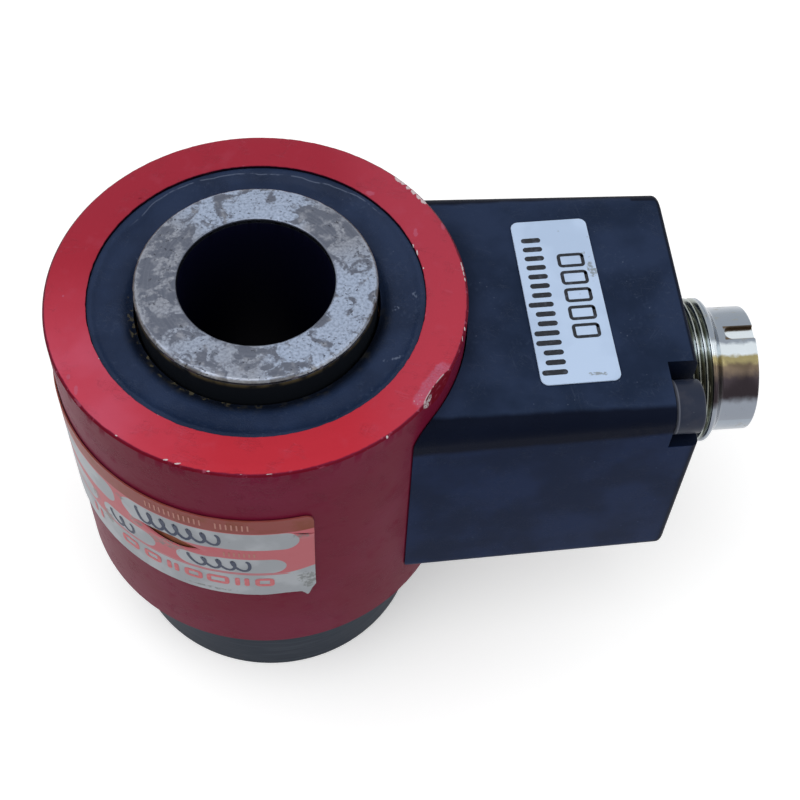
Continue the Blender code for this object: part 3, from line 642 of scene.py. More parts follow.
    def colour(self, value: Value) -> None:
        """Give the shader its colour."""
        self.feed(self.shader.inputs["Base Color"], value)


@dataclass(frozen=True)
class Dent:
    """The scoop that a round edge struck out of the housing's top edge."""

    angle: float = -36.5
    inset: float = 0.57
    drop: float = 1.45
    curve: float = 13.0
    length: float = 6.0

    @property
    def slope(self) -> Vector:
        """Direction down the scoop at its middle, before it is turned to its angle."""
        return Vector((self.inset, 0, -self.drop)).normalized()

    @property
    def axis_point(self) -> Vector:
        """A point on the axis of the cylinder that cuts the scoop.

        Returns:
            The point.
        """
        outward = Vector((-self.slope.z, 0, self.slope.x))
        middle = Vector((AT.housing_radius - self.inset / 2, 0, AT.housing_top - self.drop / 2))
        return Matrix.Rotation(math.radians(self.angle), 3, "Z") @ (middle + outward * self.curve)

    @property
    def axis(self) -> Vector:
        """Direction of that axis."""
        return Matrix.Rotation(math.radians(self.angle), 3, "Z") @ self.slope

    def tool(self) -> Piece:
        """Make the cylinder that cuts the scoop.

        Returns:
            The cutter.
        """
        side = self.axis.orthogonal().normalized()
        other = self.axis.cross(side)
        start = self.axis_point - self.axis * self.length / 2
        rings = []
        for level in (0.0, self.length):
            for x, y in arc((0, 0), self.curve, 0, 360 - 360 / DENT_STEPS, DENT_STEPS - 1):
                rings.append(start + self.axis * level + side * x + other * y)
        return make_piece("dent_tool", rings, stack_faces(DENT_STEPS))

    def reach(self, work: NodeWork) -> Socket:
        """Give how far a place lies outside the scoop's cylinder, in millimetres.

        Args:
            work: The material's nodes.

        Returns:
            The distance, below nought inside.
        """
        offset = work.vector("SUBTRACT", work.place, tuple(self.axis_point))
        away = work.vector("LENGTH", work.vector("CROSS_PRODUCT", offset, tuple(self.axis)))
        return work.apart(away, self.curve)


@dataclass(frozen=True)
class Finish:
    """A surface finish that lays out its own material."""

    name: str
    roughness: float = 0.5
    metallic: float = 0.0
    specular: float = 0.25

    def material(self) -> bpy.types.Material:
        """Give the finish's material, made the first time it is asked for.

        Returns:
            The material.
        """
        title = f"{self.name}_finish"
        known = bpy.data.materials.get(title)
        if known:
            return known
        work = NodeWork(title)
        work.shader.inputs["Roughness"].default_value = self.roughness
        work.shader.inputs["Metallic"].default_value = self.metallic
        work.shader.inputs["Specular IOR Level"].default_value = self.specular
        self.paint(work)
        return work.material

    def paint(self, work: NodeWork) -> None:
        """Lay out the nodes that give the finish its detail."""
        raise NotImplementedError


# Nicks in the coating at the outer and inner top edges, and painted highlights along the front edge.
NICKS_AND_HIGHLIGHTS = (
    *(Spot(20.8, angle, 51.15, (0.42, 0.42, 0.25)) for angle in (31.4, 33.6, 36.0, 38.2, 40.4, 42.6)),
    *(Spot(20.82, angle, 51.15, (0.12, 0.34, 0.2)) for angle in (6.8, 5.0, 3.2, 1.2)),
    Spot(20.92, -56.8, 51.0, (0.1, 0.14, 0.2)),
    Spot(16.76, 17.2, 51.2, (0.08, 0.3, 0.2)),
    Spot(16.84, 14.0, 51.2, (0.08, 0.34, 0.2)),
    Spot(16.9, 7.0, 51.2, (0.08, 0.14, 0.2)),
    Spot(16.75, -162.0, 51.2, (0.08, 0.16, 0.2)),
    Spot(16.75, -156.0, 51.2, (0.08, 0.16, 0.2)),
    Spot(16.76, -125.3, 51.2, (0.1, 0.08, 0.2)),
    # Painted highlights: these thin streaks along the front edge stand for light on the edge, in the
    # near-white colour of the nicks.
    Spot(20.82, -116.4, 51.16, (0.5, 0.09, 0.08)),
    Spot(20.82, -113.2, 51.16, (0.7, 0.09, 0.08)),
    Spot(20.84, -105.0, 51.14, (0.4, 0.07, 0.07)),
    Spot(20.84, -97.0, 51.14, (0.5, 0.07, 0.07)),
    Spot(20.84, -89.0, 51.14, (0.4, 0.07, 0.07)),
    Spot(20.84, -131.0, 51.14, (0.3, 0.12, 0.08)),
    Spot(20.88, -15.6, 51.1, (0.1, 0.28, 0.2)),
    Spot(20.88, -19.0, 51.1, (0.06, 0.3, 0.2)),
)
SCUFFS = (
    Spot(17.3, 45.0, 51.2, (0.5, 0.35, 0.3)),
    Spot(17.7, 22.0, 51.2, (0.25, 0.6, 0.3)),
    Spot(20.68, 20.9, 51.2, (0.22, 0.6, 0.3)),
    Spot(18.97, 177.6, 51.2, (0.12, 0.14, 0.3)),
    Spot(20.2, -154.0, 51.2, (0.2, 0.4, 0.3)),
    Spot(20.3, -149.0, 51.2, (0.2, 0.6, 0.3)),
    Spot(19.9, -30.5, 51.2, (0.5, 0.4, 0.3)),
)
SMUDGES = (Spot(17.34, 131.6, 51.2, (0.25, 0.12, 0.3)),)
DENT_METAL = (
    Spot(20.9, -42.6, 50.7, (0.8, 0.7, 0.45)),
    Spot(20.75, -40.2, 50.8, (0.5, 0.5, 0.3)),
)


@dataclass(frozen=True)
class RedCoating(Finish):
    """Satin red coating, painted brighter on top than on the side wall and towards the front, as painted
    light and shade; scraped, with nicks along its edges and painted highlights along the front edge.
    """

    name: str = "red_coating"
    roughness: float = 0.42
    specular: float = 0.04
    lit_front_red: Colour = srgb(183, 45, 59)
    shaded_back_red: Colour = srgb(154, 43, 59)
    pinkish: Colour = srgb(189, 76, 98)
    rosy: Colour = srgb(176, 66, 84)
    shadowed: Colour = srgb(18, 8, 18)
    side: Colour = srgb(112, 27, 55)
    shaded_side_low: Colour = srgb(107, 20, 46)
    edge: Colour = srgb(96, 4, 18)
    scraped: Colour = srgb(176, 92, 116)
    bare_metal_and_highlight: Colour = srgb(206, 196, 200)
    struck: Colour = srgb(104, 16, 32)
    dent: Dent = Dent()

    def paint(self, work: NodeWork) -> None:
        """Paint the top face with its painted light, the side wall in painted shade, the struck dent, the
        wear at the edges and the painted shade and highlights along them.

        Args:
            work: The material's nodes.
        """
        top = work.step(work.z, AT.housing_top - 0.12, AT.housing_top - 0.02)
        cloud = work.noise(0.12, 3.0)
        # Painted light: the top is painted brighter towards the front and duller towards the back, as the
        # light falls.
        front = work.step(work.y, 14.0, -16.0)
        upper = work.mix(front, self.shaded_back_red, self.lit_front_red)
        left_front = work.both(
            work.step(work.x, -3.0, -17.0), work.step(work.y, 6.0, -8.0),
            work.between(work.step(cloud, 0.4, 0.6), 0.6, 1.0)
        )
        upper = work.over(upper, self.pinkish, left_front)
        upper = work.over(upper, self.rosy, work.step(work.x, 7.0, 15.0), 0.55)
        veil = work.patch(0.5, 5.0, 0.55, 0.75)
        upper = work.over(upper, self.scraped, veil, 0.09)
        # Painted shade: the side wall is painted much darker than the top of the same coating, with uneven
        # tone.
        lower = work.mix(work.patch(0.09, 3.0, 0.35, 0.65), self.shaded_side_low, self.side)
        colour = work.mix(top, lower, upper)
        # Painted shadow: a near-black band just below the top's inner edge, where the bore wall lies in
        # shadow.
        bore_shadow_mask = work.both(
            work.step(work.radius, 16.9, 16.8),
            work.step(work.z, AT.housing_top - 0.08, AT.housing_top - 0.16),
        )
        colour = work.over(colour, self.shadowed, bore_shadow_mask)
        crown = work.step(work.z, AT.housing_top - 0.36, AT.housing_top - 0.28)
        # Painted shade: the outer chamfer is painted dark crimson, for the shade along the edge.
        chamfer = work.both(work.step(work.radius, AT.housing_radius - 0.2, AT.housing_radius - 0.12), crown)
        colour = work.over(colour, self.edge, chamfer, 0.7)
        rim = work.either(
            work.both(work.step(work.radius, 20.66, 20.74), work.patch(1.3, 4.0, 0.6, 0.68), crown),
            work.both(work.step(work.radius, 16.95, 16.85), work.patch(0.9, 4.0, 0.6, 0.7), top),
        )
        colour = work.over(colour, self.scraped, rim, 0.4)
        reach = self.dent.reach(work)
        rough_reach = work.math("ADD", reach, work.math("MULTIPLY", work.noise(1.4, 3.0), 0.5))
        near = work.both(work.step(rough_reach, 1.4, 1.1), top, work.step(work.angle, -45.4, -43.8),
                         work.step(work.angle, -27.8, -29.2))
        grain = work.patch(5.0, 3.0, 0.35, 0.65)
        colour = work.over(colour, self.scraped, near, work.between(grain, 0.45, 0.9))
        flecks = work.both(near, work.patch(4.5, 3.0, 0.62, 0.7), work.step(work.angle, -38.0, -43.0))
        colour = work.over(colour, self.bare_metal_and_highlight, flecks, 0.7)
        scoop = work.step(reach, 0.05, 0.0)
        streaks = work.step(work.stretched(3.0, 1.2, 1.2, 4.0), 0.55, 0.7)
        colour = work.over(colour, work.mix(work.both(streaks, 0.35), self.struck, self.scraped), scoop)
        lip = work.both(
            work.step(reach, 0.08, 0.04), work.step(reach, -0.01, 0.01), top, work.patch(1.2, 3.0, 0.4, 0.5)
        )
        scuffs = work.spots(SCUFFS, 0.7)
        colour = work.over(colour, self.scraped, scuffs, 0.55)
        metal = work.both(scoop, work.spots(DENT_METAL, 0.9), work.between(grain, 0.25, 0.9))
        # Nicks, painted highlights along the front edge, the dent's lip and its metal, all in near-white.
        nicked_and_lit = work.both(work.spots(NICKS_AND_HIGHLIGHTS, 0.8), crown, 0.85)
        bare_metal_and_highlight = work.either(nicked_and_lit, work.both(lip, 0.8), metal)
        colour = work.over(colour, self.bare_metal_and_highlight, bare_metal_and_highlight)
        lines = work.either(
            work.scratches(25, 2.5), work.scratches(-60, 2.0),
            work.scratches(8, 2.0, axis="X_AXIS"),
        )
        colour = work.over(colour, self.scraped, lines, crown, 0.12)
        colour = work.over(colour, self.scraped, work.dust(0.9, 0.06, 0.1), crown, 0.25)
        colour = work.over(colour, self.struck, work.spots(SMUDGES, 0.5), top, 0.6)
        work.colour(colour)
        work.roughness(work.between(veil, 0.4, 0.5))
        peel = work.noise(1.6, 2.0)
        work.bump(peel, 0.02)
        work.bump(work.without(work.either(bare_metal_and_highlight, work.both(lines, 0.5))), 0.03)


@dataclass(frozen=True)
class WornSteel(Finish):
    """Turned steel: pitted pale load face; the wall below it painted dark as painted shade and reflection,
    and the bore and the brushed foot painted dark as painted shade.
    """

    name: str = "worn_steel"
    roughness: float = 0.42
    metallic: float = 1.0
    specular: float = 0.02
    pale: Colour = srgb(152, 165, 187)
    warm: Colour = srgb(134, 138, 148)
    grey: Colour = srgb(92, 97, 110)
    pit: Colour = srgb(56, 58, 66)
    bright: Colour = srgb(204, 210, 220)
    bore: Colour = srgb(8, 9, 26)
    bore_edge: Colour = srgb(44, 47, 56)
    groove: Colour = srgb(78, 70, 50)
    dark_shade_and_reflection: Colour = srgb(20, 23, 28)
    foot: Colour = srgb(38, 47, 61)
    shaded_foot_streaks: Colour = srgb(54, 62, 74)
    stains: tuple[Place, ...] = (
        (0.0, 0.72), (0.14, 0.5), (0.24, 0.62), (0.3, 0.3), (0.46, 0.25), (0.54, 0.55), (0.62, 0.8),
        (0.69, 0.25),
        (0.82, 0.3), (0.9, 0.7), (1.0, 0.72),
    )

    def paint(self, work: NodeWork) -> None:
        """Paint the load face, the bore, the wall and the foot.

        Args:
            work: The material's nodes.
        """
        share = work.ramp(work.math("MULTIPLY_ADD", work.angle, 1 / 360, 0.5), self.stains)
        cloud = work.noise(0.5, 5.0, twist=0.7)
        lean = work.sway(share, 0.34)
        fine = work.noise(3.4, 5.0)
        mottled = work.sway(fine, 0.16)
        stained = work.step(work.math("ADD", work.math("ADD", cloud, lean), mottled), 0.46, 0.565)
        clean = work.mix(work.step(share, 0.35, 0.7), self.pale, self.warm)
        face = work.mix(stained, clean, work.mix(work.patch(0.9, 3.0, 0.5, 0.72), self.grey, self.warm))
        face = work.over(face, self.grey, work.step(fine, 0.42, 0.7), 0.5)
        face = work.over(face, self.bright, work.step(fine, 0.45, 0.3), work.between(stained, 0.13, 0.04))
        on_face = work.step(work.z, AT.body_top - 0.7, AT.body_top - 0.5)
        pits = work.either(
            work.both(
                work.step(work.noise(2.4, 5.0, twist=0.4), 0.6, 0.68),
                work.patch(0.4, 2.0, 0.42, 0.55),
            ),
            work.both(
                work.dust(2.4, 0.45, 0.26),
                work.step(share, 0.5, 0.3), work.patch(0.5, 2.0, 0.4, 0.52),
            ),
        )
        pits = work.both(pits, on_face)
        face = work.over(face, self.pit, pits, 0.75)
        turning = work.step(work.noise(3.0, 1.0, at=work.join(work.radius, 0.0)), 0.4, 0.6)
        face = work.over(face, self.bright, turning, 0.03)
        rim = work.both(work.step(work.radius, 11.6, 11.66), work.step(work.radius, 11.76, 11.7))
        face = work.over(face, self.bright, rim, work.step(fine, 0.4, 0.6), 0.25)
        edge = work.step(work.radius, 11.78, 11.84)
        face = work.over(face, self.groove, edge, 0.5)
        rusty = work.both(
            work.step(work.z, AT.body_top - 1.3, AT.body_top - 0.7),
            work.patch(0.8, 4.0, 0.3, 0.6),
        )
        # Painted shade and reflection: the wall below the load face is painted near black, with patches of
        # the olive-brown groove colour along its top.
        colour = work.mix(on_face, work.mix(rusty, self.dark_shade_and_reflection, self.groove), face)
        colour = work.over(colour, self.grey, work.step(work.radius, 8.02, 7.92), 0.55)
        # Painted shade: the bore below the load face is painted near black, as shade deep in the hole.
        inside = work.step(work.radius, 7.86, 7.8)
        colour = work.over(colour, work.mix(on_face, self.bore, self.bore_edge), inside)
        # Painted shade: the foot is painted dark for the shade it stands in, with lighter brushed streaks.
        low = work.step(work.z, AT.housing_top - 20, AT.housing_top - 21)
        brushed = work.stretched(3.0, 0.2, 0.2, 3.0)
        foot = work.mix(work.step(brushed, 0.4, 0.7), self.foot, self.shaded_foot_streaks)
        colour = work.over(colour, foot, low, work.step(work.radius, 7.9, 8.0))
        work.colour(colour)
        work.feed(work.shader.inputs["Metallic"], on_face)
        work.roughness(work.between(pits, 0.4, 0.62))
        work.bump(work.without(pits), 0.04)
        work.bump(turning, 0.004)


@dataclass(frozen=True)
class DustyBlack(Finish):
    """Black moulding, rubber or compound with dust, scuffs and light scratches."""

    name: str = "black_moulding"
    roughness: float = 0.5
    specular: float = 0.03
    base: Colour = srgb(28, 39, 60)
    cloudy: Colour = srgb(39, 51, 76)
    dusty: Colour = srgb(120, 132, 156)
    scuffed: Colour = srgb(62, 74, 98)
    dust_share: float = 0.25
    scuffs: float = 0.2
    grain: float = 0.015

    def paint(self, work: NodeWork) -> None:
        """Paint clouds, dust, scuffs and scratches over the black.

        Args:
            work: The material's nodes.
        """
        cloud = work.patch(0.16, 4.0, 0.35, 0.65)
        colour = work.mix(cloud, self.base, self.cloudy)
        patch = work.patch(0.3, 3.0, 0.5, 0.68)
        rubbed = work.both(patch, work.patch(2.4, 5.0, 0.5, 0.72))
        colour = work.over(colour, self.scuffed, rubbed, self.scuffs)
        lines = work.either(
            work.scratches(35, 2.2), work.scratches(-50, 2.6),
            work.scratches(80, 2.0), work.scratches(10, 2.4)
        )
        colour = work.over(colour, self.dusty, lines, 0.05)
        specks = work.either(
            work.both(work.dust(1.7, self.dust_share, 0.16), work.between(patch, 0.15, 0.8)),
            work.both(work.dust(0.6, 0.2, 0.06), 0.9),
        )
        colour = work.over(colour, self.dusty, specks, 0.4)
        colour = self.shaded(work, colour)
        work.colour(colour)
        work.roughness(work.between(rubbed, self.roughness, self.roughness + 0.15))
        work.bump(work.noise(5.0, 2.0), self.grain)
        work.bump(lines, -0.01)

    def shaded(self, work: NodeWork, colour: Socket) -> Socket:
        """Darken what the shape hides; plain black needs nothing."""
        return colour


@dataclass(frozen=True)
class BoxMoulding(DustyBlack):
    """The box's moulding, with painted shade on its upright sides and in its pockets, and a painted dark
    reflection along its long rounded edges.
    """

    shade_and_reflection_black: Colour = srgb(7, 12, 27)
    side_shade_tint: Colour = (0.64, 0.74, 0.94)

    def shaded(self, work: NodeWork, colour: Socket) -> Socket:
        """Paint shade on the upright sides, a dark reflection along the rounded long edges and shade in the
        corner pockets.

        Args:
            work: The material's nodes.
            colour: The colour so far.

        Returns:
            The darkened colour.
        """
        across = work.math("ABSOLUTE", work.y)
        slack = work.sway(work.noise(0.4, 2.0), 0.5)
        side = AT.box_half_width - 1.4
        # Painted shade: the upright sides below the rounded edges are darkened and tinted blue.
        front = work.both(
            work.step(across, side + 0.8, side + 1.3),
            work.step(work.z, AT.box_top - 1.6, AT.box_top - 2.2),
        )
        colour = work.over(colour, work.vector("MULTIPLY", colour, self.side_shade_tint), front)
        # Painted reflection: a dark band along the rounded long edges at the top.
        edge = work.both(
            work.step(work.math("ADD", across, slack), side, side + 0.6),
            work.step(work.math("ADD", work.z, slack), AT.box_top - 4.0, AT.box_top - 3.1),
        )
        colour = work.over(colour, self.shade_and_reflection_black, edge, 0.92)
        # Painted shade: the corner pockets are painted near black inside.
        inside = work.both(
            work.step(across, AT.box_half_width + 0.04, AT.box_half_width),
            work.step(work.z, AT.box_top - 0.01, AT.box_top - 0.05),
            work.step(work.x, AT.box_end - 3.3, AT.box_end - 3.1),
            work.step(work.x, AT.box_end - 0.01, AT.box_end - 0.03),
        )
        return work.mix(work.both(inside, 0.85), colour, self.shade_and_reflection_black)


@dataclass(frozen=True)
class SealingCompound(DustyBlack):
    """Cast black compound with scuffs, traces of glue by the steel ring, and painted shade with grime in the
    groove beside the ring.
    """

    name: str = "sealing_compound"
    roughness: float = 0.38
    specular: float = 0.1
    glue: Colour = srgb(120, 112, 84)
    dark_shade_and_reflection: Colour = srgb(13, 16, 24)
    grime: Colour = srgb(40, 38, 30)
    glue_radius: float = 12.75
    marks: tuple[Spot, ...] = (
        Spot(15.7, -1.6, 50.3, (0.3, 0.9, 0.3)),
        Spot(13.9, -9.0, 50.3, (0.5, 0.5, 0.3)),
        Spot(14.7, -34.6, 50.3, (0.3, 0.25, 0.3)),
        Spot(15.6, -31.5, 50.3, (0.7, 0.25, 0.3)),
    )

    def paint(self, work: NodeWork) -> None:
        """Add the glue traces beside the steel ring to the dusty black.

        Args:
            work: The material's nodes.
        """
        super().paint(work)
        earlier = work.shader.inputs["Base Color"].links[0].from_socket
        ring = work.both(
            work.step(work.radius, self.glue_radius + 0.25, self.glue_radius),
            work.patch(1.4, 3.0, 0.56, 0.62),
            work.step(work.x, 4.0, -6.0),
        )
        # Painted shade with grime: the compound in the groove beside the steel ring is darkened towards the
        # front, with olive grime in patches.
        valley = work.both(work.step(work.radius, 14.0, 12.6), work.step(work.y, 3.0, -5.0))
        shade_and_grime = work.mix(work.patch(0.9, 4.0, 0.5, 0.7), self.dark_shade_and_reflection, self.grime)
        colour = work.mix(work.both(valley, 0.85), earlier, shade_and_grime)
        colour = work.over(colour, self.glue, ring, 0.45)
        marked = work.both(work.spots(self.marks, 0.9), work.patch(3.0, 4.0, 0.5, 0.62))
        colour = work.over(colour, self.dusty, marked, 0.5)
        crest = work.both(
            work.step(work.z, AT.housing_top - 0.51, AT.housing_top - 0.47),
            work.step(work.z, AT.housing_top - 0.42, AT.housing_top - 0.45),
            work.step(work.angle, 34.0, 44.0),
            work.step(work.angle, 144.0, 134.0),
            work.patch(0.8, 3.0, 0.36, 0.5),
        )
        work.colour(work.mix(work.both(crest, 0.35), colour, self.dusty))


@dataclass(frozen=True)
class BlackenedSteel(Finish):
    """Blackened cap screws, rubbed brown, with a painted highlight along the base edge of the head."""

    name: str = "black_screw_steel"
    roughness: float = 0.45
    specular: float = 0.15
    base: Colour = srgb(34, 41, 58)
    brown: Colour = srgb(54, 56, 68)
    bright: Colour = srgb(118, 122, 134)

    def paint(self, work: NodeWork) -> None:
        """Paint brown scuffs and a painted highlight along the base edge of the head.

        Args:
            work: The material's nodes.
        """
        rubbed = work.patch(0.7, 4.0, 0.45, 0.7)
        colour = work.mix(work.both(rubbed, 0.6), self.base, self.brown)
        specks = work.dust(2.0, 0.2, 0.14)
        colour = work.over(colour, self.bright, specks, 0.25)
        seat = AT.box_end - 2.9
        # Painted highlight: a light line along the chamfer at the base of the head.
        lit_base_edge = work.both(
            work.step(work.x, seat + 0.34, seat + 0.22),
            work.step(work.x, seat - 0.1, seat),
        )
        colour = work.over(colour, self.bright, lit_base_edge, 0.6)
        work.colour(colour)
        work.roughness(work.between(rubbed, 0.4, 0.6))
        work.bump(work.noise(4.0, 2.0), 0.012)


@dataclass(frozen=True)
class NickelPlating(Finish):
    """Bright nickel plating with painted highlight and reflection bands round the sleeve: light, golden, dark
    below it, then pale grey; darker between the thread crests.
    """

    name: str = "nickel_plating"
    roughness: float = 0.24
    metallic: float = 1.0
    specular: float = 0.5
    silver: Colour = srgb(140, 149, 160)
    low: Colour = srgb(130, 136, 146)
    bright: Colour = srgb(214, 223, 229)
    golden: Colour = srgb(152, 142, 102)
    brown: Colour = srgb(50, 44, 48)
    dirt: Colour = srgb(96, 100, 86)
    crest: Colour = srgb(150, 157, 154)
    olive: Colour = srgb(72, 66, 50)
    umber: Colour = srgb(98, 86, 72)

    def paint(self, work: NodeWork) -> None:
        """Paint the painted highlight and reflection bands round the sleeve and the darker colour between the
        thread crests.

        Args:
            work: The material's nodes.
        """
        up = work.apart(work.z, AT.box_middle)
        turn = work.math("MULTIPLY", work.math("ARCTAN2", up, work.y), 180 / math.pi)
        wave = work.sway(work.noise(1.5, 3.0), 6.0)
        turn = work.math("ADD", turn, wave)
        # Painted highlight and reflection: by the angle round the connector, a light band, a golden band, a
        # dark band below it and a pale grey band lowest stand in for reflections.
        colour = work.mix(work.step(turn, 99, 104), self.silver, self.bright)
        colour = work.over(colour, self.golden, work.step(turn, 111, 115))
        shadowed = work.step(turn, 117, 123)
        colour = work.over(colour, work.mix(work.step(turn, 122, 136), self.umber, self.brown), shadowed)
        colour = work.over(colour, self.low, work.step(turn, 150, 160))
        out = work.vector("LENGTH", work.join(work.y, up))
        thread = work.both(
            work.step(out, AT.thread_radius - 1.05, AT.thread_radius - 0.85),
            work.step(work.x, AT.box_end + 4.05, AT.box_end + 3.75),
        )
        # Darker between the thread crests; in the light band the flanks get a painted highlight.
        flank = work.step(out, AT.thread_radius - 0.42, AT.thread_radius - 0.04)
        turned = work.mix(flank, self.dirt, self.crest)
        lit = work.both(work.step(turn, 92, 102), work.step(turn, 114, 108), flank)
        turned = work.over(turned, self.bright, lit, 0.8)
        # Painted dark reflection: the thread turns olive-dark in the dark band.
        dark_shade_and_reflection = work.both(work.step(turn, 112, 120), work.step(turn, 162, 150))
        turned = work.over(turned, self.olive, dark_shade_and_reflection, 0.62)
        colour = work.over(colour, turned, thread)
        stained = work.patch(0.9, 4.0, 0.58, 0.7)
        colour = work.over(colour, self.golden, stained, work.without(shadowed), 0.25)
        # Painted highlight and reflection in the keyway: a light floor and umber walls.
        slot = work.both(
            work.step(work.math("ABSOLUTE", work.y), 0.9, 0.86),
            work.step(work.x, AT.connector_end - 3.36, AT.connector_end - 3.32),
            work.step(up, 6.0, 6.1),
            work.step(up, 6.84, 6.8),
        )
        floor = work.both(work.step(up, 6.34, 6.31), work.step(work.math("ABSOLUTE", work.y), 0.75, 0.35))
        colour = work.over(colour, work.mix(floor, self.umber, self.bright), slot)
        # Painted shade: the inside of the sleeve is darkened brown.
        socket = work.step(out, AT.thread_radius - 1.9, AT.thread_radius - 2.0)
        colour = work.over(colour, self.brown, socket, 0.6)
        work.colour(colour)
        work.roughness(work.between(stained, 0.2, 0.34))
        lathe = work.noise(9.0, 1.0, at=work.join(work.x, 0.0))
        work.bump(lathe, 0.004)


class Pattern(Enum):
    """What marks a hidden piece's plain surface."""

    GRAIN = "grain"
    FIBRE = "fibre"
    FOIL = "foil"
    TRACKS = "tracks"
    BANDS = "bands"
    STRANDS = "strands"


@dataclass(frozen=True)
class InnerFinish(Finish):
    """Finish of a piece inside the sensor, with one pattern of its own."""

    base: Colour = srgb(120, 120, 120)
    mark: Colour = srgb(180, 180, 180)
    pattern: Pattern = Pattern.GRAIN

    def paint(self, work: NodeWork) -> None:
        """Paint the pattern and a little unevenness.

        Args:
            work: The material's nodes.
        """
        cloud = work.patch(0.5, 4.0, 0.4, 0.6)
        if self.pattern is Pattern.FOIL:
            comb = work.math("SINE", work.math("MULTIPLY", work.angle, 0.9))
            inner = work.both(work.step(work.z, 29.5, 30.2), work.step(work.z, 36.8, 36.1))
            marked = work.both(work.step(comb, -0.1, 0.1), inner)
        elif self.pattern is Pattern.TRACKS:
            snapped = work.vector("SNAP", work.place, (1.3, 1.3, 50.0))
            chance = work.noise(3.1, 0.0, at=snapped)
            marked = work.step(chance, 0.52, 0.54)
        elif self.pattern is Pattern.BANDS:
            ring = work.math("SINE", work.math("MULTIPLY", work.x, 4.5))
            marked = work.step(ring, 0.55, 0.65)
        elif self.pattern is Pattern.FIBRE:
            marked = work.step(work.stretched(4.0, 3, 3, 12), 0.5, 0.6)
        elif self.pattern is Pattern.STRANDS:
            marked = work.both(work.patch(2.5, 2.0, 0.5, 0.6), 0.4)
        else:
            marked = work.both(work.dust(1.5, 0.4, 0.2), 0.5)
        colour = work.mix(marked, self.base, self.mark)
        colour = work.over(colour, self.mark, cloud, 0.15)
        work.colour(colour)
        work.roughness(work.between(cloud, self.roughness, self.roughness + 0.12))
        work.bump(work.either(marked, work.noise(3.0, 2.0)), 0.01)


@dataclass(frozen=True)
class LabelFilm(Finish):
    """White label film with general dirt and the spots that its place has."""

    name: str = "label_film"
    roughness: float = 0.42
    specular: float = 0.12
    film: Colour = srgb(184, 204, 232)
    shade: Colour = srgb(176, 196, 224)
    dirt: Colour = srgb(120, 124, 122)
    smudges: tuple[Spot, ...] = ()

    def print_fields(self, work: NodeWork) -> Socket:
        """Give the film's colour before it got dirty."""
        return work.mix(work.patch(0.2, 2.0, 0.4, 0.6), self.film, self.shade)

    def paint(self, work: NodeWork) -> None:
        """Paint the fields, then the dirt over them.

        Args:
            work: The material's nodes.
        """
        colour = self.print_fields(work)
        grime = work.both(work.spots(self.smudges, 0.9), work.patch(2.5, 4.0, 0.36, 0.56))
        colour = work.over(colour, self.dirt, grime, 0.75)
        colour = work.over(colour, self.dirt, work.dust(1.0, 0.12, 0.14), 0.3)
        work.colour(colour)
        work.bump(work.noise(0.8, 3.0), 0.02)


@dataclass(frozen=True)
class Wrap:
    """The housing's wall unrolled: s runs left from the rating label's right edge, v runs down."""

    edge_angle: float = -78.3
    drop: float = 8.3
    height: float = 15.9
    length: float = 36.0

    @property
    def top(self) -> float:
        """Height of the label's upper edge."""
        return AT.housing_top - self.drop

    def point(self, s: float, v: float, proud: float) -> Vector:
        """Give the place in space of a place on the unrolled wall."""
        turn = self.edge_angle - math.degrees(s / AT.housing_radius)
        return polar(AT.housing_radius + proud, turn, self.top - v)

    def coordinates(self, work: NodeWork) -> Socket:
        """Give (s, v) to a material.

        Args:
            work: The material's nodes.

        Returns:
            The pair, as a vector.
        """
        per_degree = AT.housing_radius * math.pi / 180
        s = work.math("MULTIPLY", work.math("SUBTRACT", self.edge_angle, work.angle), per_degree)
        return work.join(s, work.math("SUBTRACT", self.top, work.z))

    def spot(self, s: float, v: float, wide: float, high: float) -> Spot:
        """Mark a place on the label."""
        turn = self.edge_angle - math.degrees(s / AT.housing_radius)
        return Spot(AT.housing_radius, turn, self.top - v, (wide, wide, high))


WRAP = Wrap()
TEAR = ((17.9, 6.1), (14.2, 6.5), (11.4, 7.0))


@dataclass(frozen=True)
class RatingFilm(LabelFilm):
    """Rating label: copper strip on top, salmon field with pale windows, white strip below."""

    name: str = "rating_film"
    film: Colour = srgb(178, 183, 189)
    shade: Colour = srgb(162, 167, 173)
    copper: Colour = srgb(140, 70, 66)
    salmon: Colour = srgb(190, 104, 112)
    rust: Colour = srgb(128, 64, 46)
    windows: tuple[tuple[float, float, float, float], ...] = (
        (1.5, 2.6, 20.2, 5.9),
        (21.3, 2.8, 40.0, 6.6),
        (2.9, 7.9, 14.2, 10.84),
        (16.6, 7.9, 23.7, 10.84),
        (24.9, 7.9, 40.0, 10.84),
    )

    def print_fields(self, work: NodeWork) -> Socket:
        """Give the colour fields of the print.

        Args:
            work: The material's nodes.

        Returns:
            The colour.
        """
        at = WRAP.coordinates(work)
        s, v, _ = work.split(at)
        white = work.mix(work.patch(0.25, 3.0, 0.4, 0.6), self.film, self.shade)
        lower_edge = work.math("ADD", 10.3, work.math("MULTIPLY", work.step(s, -0.8, 3.4), 0.78))
        field_mask = work.step(work.math("SUBTRACT", lower_edge, v), 0.0, 0.08)
        colour = work.mix(field_mask, white, self.salmon)
        panes = work.either(*(work.window(at, (a, b), (c, d), 1.5) for a, b, c, d in self.windows))
        colour = work.over(colour, white, panes)
        line = work.both(work.step(v, 11.05, 11.12), work.step(v, 11.32, 11.25), work.step(s, 2.4, 3.0))
        colour = work.over(colour, self.salmon, line)
        strip = work.step(v, 2.54, 2.46)
        worn = work.mix(work.patch(0.6, 4.0, 0.45, 0.7), self.copper, self.rust)
        return work.mix(strip, colour, worn)


